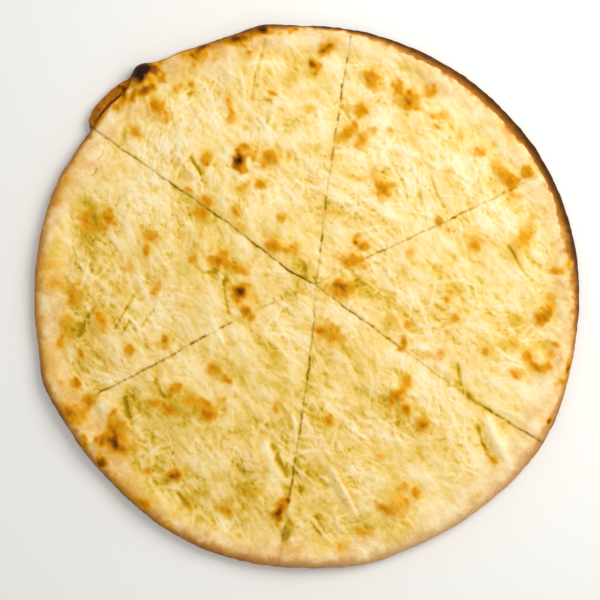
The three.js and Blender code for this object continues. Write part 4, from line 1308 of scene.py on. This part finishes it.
def top_material():
    """Cheese from olive to cream, dry rim, toasted spots, browned edge with painted shade in its outer
    line, and cut lines.
    """
    material, shader = new_material("baked_top", specular=0.06)
    tree = material.node_tree
    tone = stirred(tree, attribute_node(tree, "tone"), noise_node(tree, size=1.6), amount=0.10)
    cheese = ramp_node(tree, tone, CHEESE_COLOURS)
    floury = stirred(tree, noise_node(tree, size=9), noise_node(tree, size=1.4), amount=0.5)
    dough = ramp_node(tree, stirred(tree, floury, tone, amount=0.6), DOUGH_COLOURS)
    base = mix_node(tree, attribute_node(tree, "rim"), cheese, dough)

    # The browned edge, its dark outer line partly painted shade
    brown_and_shade = stirred(tree, attribute_node(tree, "brown_and_shade"), noise_node(tree, size=4), amount=0.25)
    browned = ramp_node(tree, brown_and_shade, BROWN_AND_SHADE_COLOURS)
    flour = ramp_node(tree, noise_node(tree, size=1.4), EDGE_FLOUR_COLOURS)
    browned = mix_node(tree, attribute_node(tree, "flour"), browned, flour)
    base = mix_node(tree, range_node(tree, brown_and_shade, start=0.02, end=0.4), base, browned)
    lip = ramp_node(tree, noise_node(tree, size=2.5), LIP_COLOURS)
    base = mix_node(tree, attribute_node(tree, "lip"), base, lip)

    toast = stirred(tree, attribute_node(tree, "toast"), noise_node(tree, size=1.2), amount=0.06)
    toasted = ramp_node(tree, toast, TOAST_COLOURS)
    toast_share = range_node(tree, toast, start=0.03, end=0.45, blend="LINEAR")
    base = mix_node(tree, toast_share, base, toasted, "DARKEN")
    # The cut line: partly its oily brown edge, partly painted shade in its gap
    cut = ramp_node(tree, noise_node(tree, size=5), CUT_LINE_AND_SHADE_COLOURS)
    base = mix_node(tree, attribute_node(tree, "cut"), base, cut)

    roughness = range_node(tree, tone, start=0.1, end=0.8, to_start=0.42, to_end=0.62)
    tree.links.new(base, shader.inputs["Base Color"])
    tree.links.new(roughness, shader.inputs["Roughness"])
    bump_node(tree, shader, noise_node(tree, size=0.9, detail=4.0), strength=0.3, distance=0.25)
    return material


def crust_material():
    """Underside: tan crust with brown spots and a dust of flour."""
    material, shader = new_material("baked_crust", specular=0.15)
    shader.inputs["Roughness"].default_value = 0.75
    tree = material.node_tree
    spots = ramp_node(tree, noise_node(tree, size=14, detail=4.0), UNDERSIDE_COLOURS)
    flour = ramp_node(tree, noise_node(tree, size=3, detail=4.0), UNDERSIDE_FLOUR_COLOURS)
    dusted = range_node(tree, noise_node(tree, size=60), start=0.42, end=0.62, to_end=0.75)
    tree.links.new(mix_node(tree, dusted, spots, flour), shader.inputs["Base Color"])
    bump_node(tree, shader, noise_node(tree, size=1.5, detail=4.0), strength=0.4, distance=0.3)
    return material


def crumb_material():
    """Cut walls: ivory crumb with small pores."""
    material, shader = new_material("cut_crumb", specular=0.1)
    shader.inputs["Roughness"].default_value = 0.85
    tree = material.node_tree
    pores = noise_node(tree, size=1.4, detail=2.0)
    tree.links.new(ramp_node(tree, pores, CRUMB_COLOURS), shader.inputs["Base Color"])
    bump_node(tree, shader, pores, strength=0.7, distance=0.6)
    return material


def pale_floor():
    bpy.ops.mesh.primitive_plane_add(size=FLOOR_WIDTH * MM, location=(0, 0, -FLOOR_GAP * MM))
    floor = bpy.context.object
    floor.name = "floor"
    material, shader = new_material("pale_floor", specular=0.5)
    shader.inputs["Roughness"].default_value = 0.8
    shader.inputs["Base Color"].default_value = linear(*FLOOR_COLOUR)
    floor.data.materials.append(material)
    floor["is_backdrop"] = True


def soft_light():
    """An evenly lit room, and a wide lamp from the right."""
    world = bpy.data.worlds.new("soft_room")
    world.use_nodes = True
    room = world.node_tree.nodes["Background"]
    room.inputs["Color"].default_value = ROOM_COLOUR
    room.inputs["Strength"].default_value = ROOM_STRENGTH
    bpy.context.scene.world = world

    distance = LAMP_DISTANCE * MM
    place = (
        distance * math.cos(LAMP_UP) * math.cos(LAMP_AROUND),
        distance * math.cos(LAMP_UP) * math.sin(LAMP_AROUND),
        distance * math.sin(LAMP_UP),
    )
    bpy.ops.object.light_add(type="AREA", location=place)
    lamp = bpy.context.object
    lamp.name = "soft_light"
    lamp.data.shape = "DISK"
    lamp.data.size = LAMP_WIDTH * MM
    lamp.data.energy = LAMP_POWER
    lamp.data.color = LAMP_COLOUR
    lamp.rotation_euler = (math.pi / 2 - LAMP_UP, 0, LAMP_AROUND + math.pi / 2)


def overhead_camera():
    view_width = VIEW_PIXELS * VIEW_LOAF_WIDTH / VIEW_LOAF_PIXELS
    height = view_width * LENS / SENSOR + CENTRE_THICKNESS
    place = (VIEW_CENTRE[0] * MM, VIEW_CENTRE[1] * MM, height * MM)
    bpy.ops.object.camera_add(location=place, rotation=(0, 0, 0))
    camera = bpy.context.object
    camera.data.lens = LENS
    camera.data.sensor_width = SENSOR
    bpy.context.scene.camera = camera
    bpy.context.scene.view_settings.view_transform = "Standard"


top = baked_top()
slice_materials = (top_material(), crust_material(), crumb_material())
blank = slice_blank()
for index in range(len(CUTS)):
    node_name = f"slice_{index + 1}"
    bpy.ops.object.select_all(action="DESELECT")
    blank.select_set(True)
    bpy.context.view_layer.objects.active = blank
    bpy.ops.object.duplicate()
    piece = bpy.context.object
    piece.name = f"baked_{node_name}"
    for material in slice_materials:
        piece.data.materials.append(material)
    shape_slice(piece, index, top)
    bpy.ops.object.shade_smooth_by_angle(angle=math.radians(SHARP_EDGE_DEGREES))
    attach(piece, "root")
    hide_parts(node_name)
bpy.data.objects.remove(blank)
pale_floor()
soft_light()
overhead_camera()

boxes = {"cad": cad_box, "visual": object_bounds()}
{name: [list(map(float, corner)) for corner in box] for name, box in boxes.items()}
